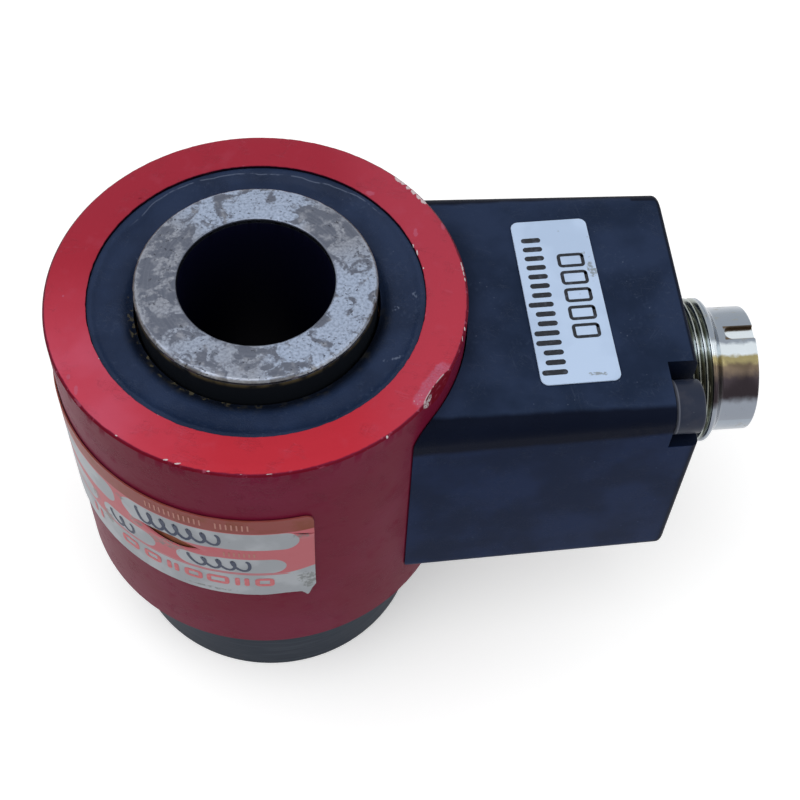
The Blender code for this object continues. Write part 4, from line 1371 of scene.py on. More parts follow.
RATING_DIRT = (
    WRAP.spot(15.0, 7.7, 2.2, 0.6),
    WRAP.spot(18.6, 6.6, 1.0, 0.8),
    WRAP.spot(1.0, 12.6, 0.8, 1.2),
    WRAP.spot(0.6, 13.2, 0.9, 1.6),
    WRAP.spot(1.4, 3.4, 0.9, 0.5),
    WRAP.spot(23.2, 11.1, 0.9, 1.4),
    WRAP.spot(15.5, 8.3, 1.8, 0.8),
    WRAP.spot(25.0, 9.0, 0.8, 1.4),
    WRAP.spot(11.0, 15.1, 2.6, 0.25),
    WRAP.spot(20.3, 3.6, 0.7, 0.5),
)


@dataclass(frozen=True)
class Ink(Finish):
    """Printed or written marks, a little worn."""

    name: str = "ink"
    roughness: float = 0.5
    dense: Colour = srgb(28, 32, 40)
    thin: Colour = srgb(70, 76, 88)

    def paint(self, work: NodeWork) -> None:
        """Paint the ink denser and thinner in places.

        Args:
            work: The material's nodes.
        """
        worn = work.patch(1.8, 4.0, 0.52, 0.72)
        work.colour(work.mix(work.both(worn, 0.6), self.dense, self.thin))
        work.bump(work.noise(4.0, 2.0), 0.004)


RED = RedCoating()
STEEL = WornSteel()
MOULDING = BoxMoulding()
COMPOUND = SealingCompound(grain=0.03, scuffs=0.4, base=srgb(26, 39, 64), cloudy=srgb(36, 50, 78))
SCREW_STEEL = BlackenedSteel()
NICKEL = NickelPlating()
GASKET = DustyBlack(
    name="gasket_grey", base=srgb(92, 98, 88), cloudy=srgb(108, 114, 102), dusty=srgb(150, 154, 144)
)
INSULATOR = DustyBlack(
    name="insulator_black", base=srgb(26, 26, 30), cloudy=srgb(34, 34, 38),
    dusty=srgb(90, 90, 94), roughness=0.4
)
RUBBER = DustyBlack(
    name="seal_rubber", base=srgb(30, 30, 32), cloudy=srgb(38, 38, 40), dusty=srgb(84, 84, 86), roughness=0.75
)
GOLD = InnerFinish(
    name="contact_gold", base=srgb(226, 186, 96), mark=srgb(246, 216, 140), roughness=0.25, metallic=1.0
)
INNER_FINISHES = {
    finish.name: finish
    for finish in (
        InnerFinish(
            "fibre_washer", 0.7, base=srgb(150, 108, 76), mark=srgb(110, 74, 50), pattern=Pattern.FIBRE
        ),
        InnerFinish(
            "board_green", 0.45, base=srgb(40, 96, 62), mark=srgb(92, 140, 86), pattern=Pattern.TRACKS
        ),
        InnerFinish(
            "resistor_tan", 0.4, base=srgb(190, 156, 118), mark=srgb(92, 52, 34), pattern=Pattern.BANDS
        ),
        InnerFinish(
            "gauge_foil", 0.35, base=srgb(186, 134, 72), mark=srgb(196, 190, 176), pattern=Pattern.FOIL
        ),
        InnerFinish(
            "lead_enamel", 0.4, base=srgb(150, 62, 42), mark=srgb(190, 110, 70), pattern=Pattern.STRANDS
        ),
        InnerFinish(
            "wire_sleeve", 0.45, base=srgb(204, 204, 198), mark=srgb(160, 160, 154), pattern=Pattern.STRANDS
        ),
        InnerFinish(
            "cable_sheath", 0.5, base=srgb(122, 122, 126), mark=srgb(90, 90, 94), pattern=Pattern.STRANDS
        ),
        RUBBER,
        NICKEL,
    )
}
SERIAL_FILM = LabelFilm(
    name="serial_film",
    smudges=(
        Spot(34.9, 6.0, 47.5, (0.5, 1.3, 0.4)),
        Spot(34.4, 9.4, 47.5, (0.4, 0.5, 0.4)),
        Spot(34.5, -16.0, 47.5, (1.2, 0.25, 0.4)),
    ),
)
RATING_FILM = RatingFilm(smudges=RATING_DIRT)
PRINT_INK = Ink("print_ink")
PEN_INK = Ink("pen_ink", dense=srgb(52, 60, 82), thin=srgb(84, 92, 112))
SALMON_INK = Ink("salmon_ink", dense=srgb(200, 106, 112), thin=srgb(212, 134, 138))
TORN_PAPER = Ink("torn_paper", 0.7, dense=srgb(134, 78, 54), thin=srgb(84, 46, 36))
PALE_INK = Ink("pale_ink", dense=srgb(180, 124, 114), thin=srgb(164, 104, 96))


class SubAssembly:
    """A group of pieces that belong together; it builds them and dresses them."""

    def build(self) -> list[Piece]:
        """Build the pieces and dress each one."""
        raise NotImplementedError

    @staticmethod
    def dress(piece: Piece, finish: Finish, slot: str, *nodes: str) -> Piece:
        """Give a piece its finish and its body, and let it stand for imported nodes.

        Args:
            piece: The piece.
            finish: Its finish.
            slot: The record's material slot; not used.
            nodes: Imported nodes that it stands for.

        Returns:
            The same piece.
        """
        piece.data.materials.clear()
        piece.data.materials.append(finish.material())
        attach(piece, "root")
        if nodes:
            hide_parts(*nodes)
        LOG.info("%s: %d faces", piece.name, len(piece.data.polygons))
        return piece


def edge_push(angle: float, *waves: tuple[float, float, float]) -> float:
    """Give the smooth uneven push of a turned edge at an angle.

    Args:
        angle: Where on the edge, in degrees.
        waves: For each wave its largest push in millimetres, its quickness and its place in the noise.

    Returns:
        The push in millimetres.
    """
    return sum(amount * smooth_noise(polar(scale, angle, seed)) for amount, scale, seed in waves)


@dataclass
class Housing(SubAssembly):
    """Red round housing with the dent and the nicks of its top edge."""

    top_bore: float = 16.75
    foot_bore: float = 17.6
    mid_bore: float = 15.9
    chamfer: float = 0.28
    bore_round: float = 0.2
    seat_depth: float = 6.5
    shoulder_height: float = 22.1
    port_radius: float = 3.0
    screw_hole_radius: float = 1.8
    screw_hole_start: float = 14.2
    steps: int = 360
    nick_sizes: tuple[float, ...] = (0.26, 0.3, 0.28, 0.26, 0.24, 0.24)
    nick_angles: tuple[float, ...] = (-56.8, 41.0, 37.0, 32.6, 5.0, 1.8)
    dent: Dent = field(default_factory=Dent)

    def profile(self) -> Profile:
        """Give the housing's section, with rings that keep the cuts local.

        Returns:
            Points as (radius, height).
        """
        radius, top, bottom = AT.housing_radius, AT.housing_top, AT.housing_bottom
        bevel = self.chamfer
        return [
            (radius, top - 3.0),
            (radius, top - 1.8),
            (radius, top - bevel - 0.05),
            (radius - 0.04, top - bevel + 0.03),
            (radius - bevel + 0.03, top - 0.04),
            (radius - bevel - 0.05, top),
            (radius - 1.4, top),
            (radius - 2.6, top),
            (self.top_bore + self.bore_round, top),
            (self.top_bore + 0.05, top - 0.05),
            (self.top_bore, top - self.bore_round),
            (self.top_bore, top - self.seat_depth),
            (self.mid_bore, top - self.seat_depth),
            (self.mid_bore, self.shoulder_height),
            (self.foot_bore, self.shoulder_height),
            (self.foot_bore, bottom),
            (radius - bevel, bottom),
            (radius - 0.13, bottom + 0.13),
            (radius, bottom + bevel),
            (radius, (top + bottom) / 2),
        ]

    def worn(self, radius: float, height: float, angle: float) -> Place:
        """Wear the upper edges unevenly.

        Args:
            radius: Radius before the wear.
            height: Height before the wear.
            angle: Angle in degrees.

        Returns:
            The worn radius and height.
        """
        top = AT.housing_top
        outer = radius > AT.housing_radius - 0.6 and height > top - 0.6
        inner = radius < self.top_bore + 0.3 and height > top - 0.3
        if outer and radius < AT.housing_radius:
            push = abs(edge_push(angle, (0.05, 14.0, 3.0), (0.03, 60.0, 9.0)))
            return radius - push, height - push * 0.5
        if inner:
            return radius + edge_push(angle, (0.05, 30.0, 5.0)), height
        return radius, height

    def nick_tool(self) -> Piece:
        """Make the small blunt cutters that chip the rim.

        Returns:
            The cutter.
        """
        points: list[Vector] = []
        faces: list[tuple[int, ...]] = []
        for number, (angle, size) in enumerate(zip(self.nick_angles, self.nick_sizes)):
            centre = polar(AT.housing_radius + size * 0.3, angle, AT.housing_top + size * 0.35)
            shape = bmesh.new()
            bmesh.ops.create_icosphere(shape, subdivisions=2, radius=1.0)
            start = len(points)
            turn = Matrix.Rotation(math.radians(angle), 3, "Z")
            for vert in shape.verts:
                ragged = 1 + 0.25 * smooth_noise(vert.co * 2.3 + Vector((number * 7.0, 0, 0)))
                stretched = Vector((vert.co.x * size, vert.co.y * size * 1.9, vert.co.z * size)) * ragged
                points.append(centre + turn @ stretched)
            faces += [tuple(start + vert.index for vert in face.verts) for face in shape.faces]
            shape.free()
        return make_piece("nick_tool", points, faces)

    def build(self) -> list[Piece]:
        """Turn the housing, then cut its holes, its dent and its nicks.

        Returns:
            The dressed pieces.
        """
        shell = revolve("housing_shell", self.profile(), self.steps, worn=self.worn)
        carve(shell, drill("port_tool", self.port_radius, 10.0, AT.housing_radius + 0.5))
        for place in SCREW_PLACES:
            hole = (self.screw_hole_radius, self.screw_hole_start, AT.housing_radius + 0.5)
            carve(shell, drill("tapping_tool", *hole, place))
        carve(shell, self.dent.tool(), sharp=30)
        carve(shell, self.nick_tool(), sharp=30)
        return [self.dress(shell, RED, "red_coating", "outer_housing")]


@dataclass
class MeasuringBody(SubAssembly):
    """Turned steel body: load ring on top, column inside, flange and foot below."""

    bore_radius: float = 7.75
    column_radius: float = 10.2
    load_radius: float = 12.0
    load_depth: float = 9.2
    bevel: float = 0.3
    bore_bevel: float = 0.18
    fillet: float = 1.5
    flange_rise: float = 7.0
    groove_rise: float = 2.2
    groove_width: float = 1.9
    groove_depth: float = 1.3
    steps: int = 320

    def profile(self) -> Profile:
        """Give the body's section with rounded bevels.

        Returns:
            Points as (radius, height).
        """
        top, foot = AT.body_top, AT.foot_radius
        flange = AT.housing_bottom + self.flange_rise
        groove = AT.housing_bottom + self.groove_rise
        bevel, load, bore = self.bevel, self.load_radius, self.bore_radius
        ring_low = top - self.load_depth
        return [
            (foot - bevel, 0),
            (foot - 0.12, 0.12),
            (foot, bevel),
            (foot, AT.housing_bottom - 1.0),
            (foot, groove),
            (foot - self.groove_depth, groove),
            (foot - self.groove_depth, groove + self.groove_width),
            (foot, groove + self.groove_width),
            (foot, flange),
            *arc((self.column_radius + self.fillet, flange + self.fillet), self.fillet, 270, 180, 8),
            (self.column_radius, ring_low - (load - self.column_radius)),
            (load, ring_low),
            (load, top - 2.4),
            (load, top - bevel),
            (load - 0.1, top - 0.16),
            (load - bevel, top),
            (load - bevel - 0.05, top),
            (load - 1.1, top),
            (bore + 1.1, top),
            (bore + self.bore_bevel + 0.04, top),
            (bore + self.bore_bevel, top),
            (bore + 0.06, top - 0.08),
            (bore, top - self.bore_bevel),
            (bore, top - 2.4),
            (bore, bevel),
            (bore + 0.12, 0.12),
            (bore + bevel, 0),
        ]

    def worn(self, radius: float, height: float, angle: float) -> Place:
        """Wear the two edges of the load face.

        Args:
            radius: Radius before the wear.
            height: Height before the wear.
            angle: Angle in degrees.

        Returns:
            The worn radius and height.
        """
        if height < AT.body_top - self.bevel - 0.01 or radius == self.bore_radius:
            return radius, height
        push = abs(edge_push(angle, (0.07, 9.0, 1.0), (0.04, 40.0, 2.0)))
        if radius > self.load_radius - self.bevel - 0.01:
            return radius - push * 0.6, height - push * 0.4
        if radius < self.bore_radius + self.bore_bevel + 0.01:
            return radius + push * 0.3, height - push * 0.2
        return radius, height

    def build(self) -> list[Piece]:
        """Turn the body."""
        body = revolve("steel_body", self.profile(), self.steps, worn=self.worn)
        return [self.dress(body, STEEL, "worn_steel", "measuring_body")]


MENISCUS = (
    (0.0, 16.2), (20.0, 16.3), (39.0, 16.32), (48.1, 16.45), (58.9, 16.16), (66.9, 15.95), (73.9, 16.08),
    (87.2, 15.93), (90.5, 16.17), (104.2, 16.18), (111.9, 16.39), (127.5, 16.28), (137.6, 15.83),
    (150.0, 16.1),
    (200.0, 16.3), (250.0, 16.1), (300.0, 16.3), (360.0, 16.2),
)


@dataclass
class TopSeal(SubAssembly):
    """Cast compound with its uneven rise at the housing and its groove at the steel ring."""

    inner: float = 12.3
    outer: float = 16.72
    dish: float = 0.95
    rim_drop: float = 0.38
    groove_drop: float = 1.55
    bottom: float = 46.5
    steps: int = 360

    def meniscus(self, angle: float) -> float:
        """Give the radius where the compound's risen edge lies.

        Args:
            angle: Angle in degrees.

        Returns:
            The radius.
        """
        fine = edge_push(angle, (0.1, 9.0, 8.0), (0.06, 26.0, 3.0))
        for (start, near), (stop, far) in zip(MENISCUS, MENISCUS[1:]):
            if start <= angle <= stop:
                share = (angle - start) / (stop - start)
                return near + (far - near) * share * share * (3 - 2 * share) + fine
        return MENISCUS[0][1] + fine

    def build(self) -> list[Piece]:
        """Turn the seal ring by ring and push each ring to its uneven place.

        Returns:
            The dressed pieces.
        """
        top = AT.housing_top
        base: Profile = [
            (self.inner, top - self.groove_drop),
            (self.inner + 0.2, top - self.groove_drop + 0.06),
            (self.inner + 0.45, top - self.dish - 0.36),
            (self.inner + 0.75, top - self.dish - 0.18),
            (self.inner + 1.1, top - self.dish - 0.06),
            (self.inner + 1.6, top - self.dish - 0.01),
            (14.4, top - self.dish),
            (15.0, top - self.dish + 0.03),
            (15.4, top - self.dish + 0.1),
            (15.7, top - self.dish + 0.2),
            (15.9, top - self.dish + 0.3),
            (16.05, top - self.dish + 0.41),
            (16.2, top - 0.45),
            (16.3, top - self.rim_drop - 0.01),
            (self.outer, top - self.rim_drop),
            (self.outer, self.bottom),
            (self.inner, self.bottom),
        ]

        def uneven(radius: float, height: float, angle: float) -> Place:
            """Push one point of the seal's surface to its uneven place.

            Args:
                radius: Radius before the wear.
                height: Height before the wear.
                angle: Angle in degrees.

            Returns:
                The pushed radius and height.
            """
            if height < top - self.groove_drop - 0.1 or radius in (self.inner, self.outer):
                return radius, height
            lump = 0.05 * smooth_noise(polar(radius * 0.5, angle, 2.0))
            if radius > 15.0:
                shift = (self.meniscus(angle) - 16.2) * min(1.0, (radius - 15.0) / 0.9)
                return min(radius + shift, self.outer - 0.03), height + lump * 0.3
            if radius < self.inner + 0.95:
                return radius + 0.16 * smooth_noise(polar(4.0, angle, 6.0)), height + lump
            return radius, height + lump

        seal = revolve("seal_compound", base, self.steps, worn=uneven, sharp=50)
        return [self.dress(seal, COMPOUND, "sealing_compound", "top_seal")]


@dataclass
class ConnectionBox(SubAssembly):
    """Moulded box with its corner pockets, the seal behind it and the two cap screws."""

    edge_radius: float = 2.2
    end_round: float = 0.7
    seat_radius: float = 21.8
    gasket_side: float = 0.6
    gasket_inner: float = 21.15
    gasket_outer: float = 21.65
    gasket_inset: float = 1.2
    blank_start: float = 10.5
    wall: float = 2.2
    end_wall: float = 2.5
    pocket: float = 6.2
    pocket_depth: float = 3.2
    pocket_round: float = 0.9
    head_radius: float = 2.75
    head_height: float = 3.0
    screw_radius: float = 1.5
    socket_width: float = 2.5
    socket_depth: float = 1.6

    def box(self) -> Piece:
        """Mould the box round its cavity.

        Returns:
            The box.
        """
        width, height = 2 * AT.box_half_width, AT.box_top - AT.box_bottom
        outline = rounded_rectangle(width, height, self.edge_radius, 12)
        box = raise_outline(
            "box_moulding", outline, self.blank_start, AT.box_end, Lay.CONNECTOR, rounding=self.end_round
        )
        for vert in box.data.vertices:
            away = AT.box_end - (vert.co.x / MM - AT.bore_x)
            vert.co.y += math.copysign(FLARE * away * MM, vert.co.y)
        wing = AT.housing_radius + WING_GAP
        saddle = [
            (0, AT.box_top + 1), (wing, AT.box_top + 1),
            (wing, AT.box_bottom - 1), (0, AT.box_bottom - 1),
        ]
        carve(box, revolve("saddle_tool", saddle, 360))
        side = AT.box_half_width - self.gasket_side + 0.3
        reach = math.degrees(math.asin(side / self.seat_radius))
        seat = [*arc((0, 0), self.seat_radius, -reach, reach, 80), (0, side), (0, -side)]
        low, high = AT.box_bottom + self.gasket_inset - 0.3, AT.box_top - self.gasket_inset + 0.3
        carve(box, raise_outline("seat_tool", seat, low, high))
        inner = rounded_rectangle(width - 2 * self.wall, height - 2 * self.wall, 0.3, 3)
        cavity = raise_outline("cavity_tool", inner, 5.0, AT.box_end - self.end_wall, Lay.CONNECTOR)
        post = self.pocket + 1.0
        size = rounded_rectangle(post + 0.01, post + 0.01, 0.5, 3)
        for corner in corner_places(post / 2, post / 2):
            carve(cavity, raise_outline("post_tool", size, 4.0, AT.box_end, Lay.CONNECTOR, at=corner))
        carve(box, cavity)
        carve(box, drill("connector_hole_tool", AT.thread_radius + 0.3, 30.0, AT.box_end + 1))
        recess = rounded_rectangle(2 * self.pocket, 2 * self.pocket, self.pocket_round, 6)
        low = AT.box_end - self.pocket_depth
        for corner, place in zip(corner_places(0, 0), SCREW_PLACES):
            carve(box, raise_outline("pocket_tool", recess, low, AT.box_end + 1, Lay.CONNECTOR, at=corner))
            carve(box, drill("passage_tool", self.screw_radius + 0.3, 5.0, AT.box_end, place))
        return box

    def gasket(self) -> Piece:
        """Bend the thin seal round the housing and trim it to the box's section.

        Returns:
            The seal.
        """
        width = 2 * (AT.box_half_width - self.gasket_side)
        height = AT.box_top - AT.box_bottom - 2 * self.gasket_inset
        band = [(self.gasket_inner, AT.box_top + 1), (self.gasket_outer, AT.box_top + 1),
                (self.gasket_outer, AT.box_bottom - 1), (self.gasket_inner, AT.box_bottom - 1)]
        seal = revolve("saddle_seal", band, 360)
        limit = rounded_rectangle(width, height, self.edge_radius, 12)
        carve(seal, raise_outline("limit_tool", limit, self.blank_start, 30.0, Lay.CONNECTOR), "INTERSECT")
        opening = rounded_rectangle(width - 13.2, height - 2.6, 0.8, 4)
        carve(seal, raise_outline("opening_tool", opening, 5.0, 30.0, Lay.CONNECTOR))
        for place in SCREW_PLACES:
            carve(seal, drill("passage_tool", self.screw_radius + 0.3, 5.0, 30.0, place))
        return seal

    def screw(self, number: int, across: float, up: float) -> Piece:
        """Turn one cap screw and press the hexagon into its head.

        Args:
            number: Number of the screw.
            across: Its place across the box.
            up: Its place up the box.

        Returns:
            The screw.
        """
        under = AT.box_end - self.pocket_depth + 0.3
        top = under + self.head_height
        head = self.head_radius
        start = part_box(f"box_screw_{number}")[0].x / MM - AT.bore_x
        profile = [
            (0, top),
            (head - 0.5, top),
            *arc((head - 0.38, top - 0.38), 0.38, 90, 0, 5),
            (head, under + 0.16),
            (head - 0.14, under + 0.02),
            (head - 0.3, under),
            (self.screw_radius, under),
            (self.screw_radius, start + 0.4),
            (self.screw_radius - 0.4, start),
            (0, start),
        ]
        screw = revolve(f"cap_screw_{number}", profile, 72, Lay.CONNECTOR)
        key = arc((0, 0), self.socket_width / math.sqrt(3), 0, 300, 5)
        lead_in = [(0, top + 0.2), (1.75, top + 0.2), (1.35, top - 0.2), (0, top - 0.2)]
        cone = revolve("lead_in_tool", lead_in, 48, Lay.CONNECTOR)
        carve(screw, cone)
        carve(screw, raise_outline("key_tool", key, top - self.socket_depth, top + 1, Lay.CONNECTOR))
        screw.data.transform(Matrix.Translation((0, across * MM, up * MM)))
        return screw

    def build(self) -> list[Piece]:
        """Build the box, its seal and both screws.

        Returns:
            The dressed pieces.
        """
        pieces = [
            self.dress(self.box(), MOULDING, "black_moulding", "connector_box"),
            self.dress(self.gasket(), GASKET, "gasket_grey", "saddle_gasket"),
        ]
        for number, place in enumerate(SCREW_PLACES, 1):
            screw = self.screw(number, *place)
            pieces.append(self.dress(screw, SCREW_STEEL, "black_screw_steel", f"box_screw_{number}"))
        return pieces


@dataclass
class Connector(SubAssembly):
    """Plated shell with a real thread and keyway, its insulator and the contacts."""

    sleeve_radius: float = 6.84
    sleeve_wall: float = 0.9
    thread_length: float = 4.2
    shoulder_length: float = 1.25
    pitch: float = 0.75
    thread_depth: float = 0.36
    rings_per_turn: int = 12
    socket_floor: float = 47.0
    shell_step: float = 0.45
    keyway_length: float = 3.3
    keyway_width: float = 1.7
    keyway_depth: float = 0.55
    insulator_face: float = 47.9
    insulator_back: float = 39.0
    pin_radius: float = 0.5
    pin_circle: float = 3.9
    pin_count: int = 6
    steps: int = 240

    def shell(self) -> Piece:
        """Turn the shell, cut its thread as one helix and mill the keyway.

        Returns:
            The shell.
        """
        end, base = AT.connector_end, AT.box_end
        thread_end = base + self.thread_length
        inner = self.sleeve_radius - self.sleeve_wall
        rear = inner + self.shell_step
        big, small = AT.thread_radius, self.sleeve_radius
        rings = round(self.thread_length / self.pitch * self.rings_per_turn)
        thread = [(big, base + self.thread_length * step / rings) for step in range(rings + 1)]
        shoulder = []
        for step in range(1, 9):
            share = step / 8
            shoulder.append((big - (big - small) * (1 - math.cos(math.pi * share)) / 2,
                             thread_end + self.shoulder_length * share))
        profile = [
            (rear, AT.connector_back),
            (big, AT.connector_back),
            *thread,
            *shoulder,
            (small, end - 1.5),
            *arc((small - 0.25, end - 0.25), 0.25, 0, 90, 4),
            *arc((inner + 0.15, end - 0.15), 0.15, 90, 180, 3),
            (inner, end - 1.5),
            (inner, self.socket_floor),
            (rear, self.socket_floor),
        ]

        def threaded(radius: float, height: float, angle: float) -> Place:
            """Sink the rings between the crests of the helix.

            Args:
                radius: Radius before the wear.
                height: Height before the wear.
                angle: Angle in degrees.

            Returns:
                The cut radius and height.
            """
            if radius != big or height <= base or height >= thread_end:
                return radius, height
            phase = ((height - base) / self.pitch - angle / 360) % 1.0
            groove = max(0.0, 1 - abs(phase - 0.5) / 0.42)
            fade = min(1.0, (height - base) / 0.2, (thread_end - height) / 0.35)
            return radius - self.thread_depth * groove * fade, height

        shell = revolve("plug_shell", profile, self.steps, Lay.CONNECTOR, threaded, sharp=50)
        half = self.keyway_width / 2
        slot = [
            (half, self.keyway_length * 2), *arc((0, half), half, 0, -180, 16),
            (-half, self.keyway_length * 2),
        ]
        floor = AT.box_middle + self.sleeve_radius - self.keyway_depth
        start = end - self.keyway_length
        points = [(start + along, across, level) for level in (floor, floor + 2) for across, along in slot]
        carve(shell, make_piece("keyway_tool", points, stack_faces(len(slot))), sharp=40)
        return shell

    def pin_places(self) -> Profile:
        """Give the contacts' places, counted round the connector from +Y."""
        turns = (math.tau * number / self.pin_count for number in range(self.pin_count))
        return [(self.pin_circle * math.cos(turn), self.pin_circle * math.sin(turn)) for turn in turns]

    def insulator(self) -> Piece:
        """Mould the insulator with a raised middle and a hole for each contact.

        Returns:
            The insulator.
        """
        nose = self.sleeve_radius - self.sleeve_wall - 0.3
        body = nose + self.shell_step
        step = self.socket_floor - 0.3
        profile = [
            (0, self.insulator_face),
            (nose - 0.2, self.insulator_face),
            (nose, self.insulator_face - 0.2),
            (nose, step),
            (body, step),
            (body, self.insulator_back),
            (0, self.insulator_back),
        ]
        block = revolve("insulator_block", profile, 120, Lay.CONNECTOR)
        for place in self.pin_places():
            hole = (self.pin_radius + 0.15, self.insulator_back - 0.5, AT.connector_end)
            carve(block, drill("pin_hole_tool", *hole, place))
        return block

    def pin(self, number: int, across: float, up: float) -> Piece:
        """Turn one contact with its rounded tip and solder cup.

        Args:
            number: Number of the contact.
            across: Its place across.
            up: Its place up.

        Returns:
            The contact.
        """
        low, high = (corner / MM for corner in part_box(f"contact_pin_{number}"))
        back, front = low.x - AT.bore_x, high.x - AT.bore_x
        cup = 2.0
        radius = self.pin_radius
        profile = [
            (0, front),
            *arc((radius - 0.35, front - 0.35), 0.35, 90, 0, 5),
            (radius, back + cup),
            (0.8, back + cup),
            (0.9, back + cup - 0.1),
            (0.9, back),
            (0, back),
        ]
        pin = revolve(f"contact_{number}", profile, 32, Lay.CONNECTOR)
        pin.data.transform(Matrix.Translation((0, across * MM, up * MM)))
        return pin

    def build(self) -> list[Piece]:
        """Build the shell, the insulator and the contacts.

        Returns:
            The dressed pieces.
        """
        pieces = [
            self.dress(self.shell(), NICKEL, "nickel_plating", "connector_shell"),
            self.dress(self.insulator(), INSULATOR, "insulator_black", "connector_insulator"),
        ]
        for number, (across, up) in enumerate(self.pin_places(), 1):
            pin = self.pin(number, across, up)
            pieces.append(self.dress(pin, GOLD, "contact_gold", f"contact_pin_{number}"))
        return pieces


Surface = Callable[[float, float, float], Vector]


@dataclass(frozen=True)
class Stroke:
    """A line of ink along points on a label, with a width and round ends."""

    points: tuple[Place, ...]
    width: float


def ink_piece(name: str, strokes: Sequence[Stroke], surface: Surface, low: float, high: float) -> Piece:
    """Lay strokes on a surface as thin closed ribbons.

    Args:
        name: Name of the object.
        strokes: The lines of ink.
        surface: Gives the place in space of (a, b, height above the label's base).
        low: Height of the ink's underside.
        high: Height of its upper side.

    Returns:
        One object with all the strokes.
    """
    points: list[Vector] = []
    faces: list[tuple[int, ...]] = []
    for stroke in strokes:
        sections = ribbon_sections(stroke)
        start = len(points)
        for left, right in sections:
            for height in (low, high):
                points.append(surface(*left, height))
                points.append(surface(*right, height))
        for row in range(len(sections) - 1):
            at = start + 4 * row
            faces += [(at, at + 1, at + 5, at + 4), (at + 2, at + 6, at + 7, at + 3),
                      (at, at + 4, at + 6, at + 2), (at + 1, at + 3, at + 7, at + 5)]
        last = start + 4 * (len(sections) - 1)
        faces += [(start, start + 2, start + 3, start + 1), (last, last + 1, last + 3, last + 2)]
    return make_piece(name, points, faces)


def ribbon_sections(stroke: Stroke) -> list[tuple[Place, Place]]:
    """Give the left and right edge of a stroke, point by point, with rounded ends.

    Args:
        stroke: The stroke.

    Returns:
        Pairs of edge points.
    """
    half = stroke.width / 2
    marks = [Vector(point) for point in stroke.points]
    first = (marks[1] - marks[0]).normalized()
    last = (marks[-1] - marks[-2]).normalized()
    sections: list[tuple[Vector, Vector, float]] = []
    caps = (0.96, 0.7, 0.35)
    for share in caps:
        sections.append((marks[0] - first * half * share, first, half * math.sqrt(1 - share * share)))
    for number, mark in enumerate(marks):
        before = marks[max(0, number - 1)]
        after = marks[min(len(marks) - 1, number + 1)]
        sections.append((mark, (after - before).normalized(), half))
    for share in reversed(caps):
        sections.append((marks[-1] + last * half * share, last, half * math.sqrt(1 - share * share)))
    edges = []
    for centre, along, reach in sections:
        side = Vector((-along.y, along.x)) * reach
        edges.append((tuple(centre + side), tuple(centre - side)))
    return edges


def bar(a: float, b: float, width: float, height: float) -> Stroke:
    """Make a rounded upright block of ink, its middle at (a, b)."""
    reach = max(0.05, (height - width) / 2)
    return Stroke(((a, b - reach), (a, b), (a, b + reach)), width)


def ring(a: float, b: float, wide: float, high: float, width: float) -> Stroke:
    """Make an outlined rounded box of ink, its middle at (a, b).

    Args:
        a: Place across the label.
        b: Place along the label.
        wide: Width of the box.
        high: Height of the box.
        width: Width of its line.

    Returns:
        The outline as a stroke.
    """
    outline = rounded_rectangle(wide, high, 0.28, 5)
    closed = [(a + x, b + y) for x, y in outline]
    return Stroke((*closed, closed[0], closed[1]), width)


@dataclass
class SerialLabel(SubAssembly):
    """Flat label on the box, with plain bars and outlined boxes in place of its print."""

    width: float = 8.1
    length: float = 20.8
    corner: float = 0.8
    from_end: float = 12.45
    tilt: float = 1.4
    gap: float = LABEL_GAP
    thickness: float = FILM_THICKNESS
    word_count: int = 15
    word_pitch: float = 1.2
    word_start: float = -9.0
    word_foot: float = -1.5
    word_stroke: float = 0.62
    box_count: int = 5
    box_pitch: float = 2.27
    box_start: float = -4.2

    def surface(self, a: float, b: float, height: float) -> Vector:
        """Give the place of (across, along, height above the label's base).

        Args:
            a: Place across the label.
            b: Place along the label.
            height: Height above the label's base.

        Returns:
            The place.
        """
        turn = math.radians(self.tilt)
        x = a * math.cos(turn) - b * math.sin(turn)
        y = a * math.sin(turn) + b * math.cos(turn)
        return Vector((AT.box_end - self.from_end + x, y, AT.box_top + self.gap + height))

    def film(self) -> Piece:
        """Cut the film with rounded corners and a soft upper edge.

        Returns:
            The film.
        """
        outline = rounded_rectangle(self.width, self.length, self.corner, 8)
        levels = (
            (0.0, 0.0), (self.thickness - 0.05, 0.0),
            (self.thickness - 0.01, 0.02), (self.thickness, 0.06),
        )
        points = []
        for level, inset in levels:
            across, along = 1 - 2 * inset / self.width, 1 - 2 * inset / self.length
            points += [self.surface(a * across, b * along, level) for a, b in outline]
        return make_piece("serial_film", points, stack_faces(len(outline), len(levels)), sharp=50)

    def marks(self) -> list[Stroke]:
        """Lay out the bars in place of the word and the boxes in place of the number.

        Returns:
            The strokes.
        """
        tall = (0, 3, 4, 7)
        strokes = []
        for number in range(self.word_count):
            height = 2.0 if number in tall else 1.45
            b = self.word_start + number * self.word_pitch
            strokes.append(Stroke(((self.word_foot - height, b), (self.word_foot, b)), self.word_stroke))
        for number in range(self.box_count):
            b = self.box_start + number * self.box_pitch
            strokes.append(ring(1.55, b, 2.5, 1.45, 0.36))
        return strokes

    def build(self) -> list[Piece]:
        """Build the film and its print.

        Returns:
            The dressed pieces.
        """
        film = self.dress(self.film(), SERIAL_FILM, "label_film", "serial_label")
        print_low = self.thickness + 0.004
        ink = ink_piece("serial_print", self.marks(), self.surface, print_low, print_low + INK_THICKNESS)
        return [film, self.dress(ink, PRINT_INK, "label_film")]


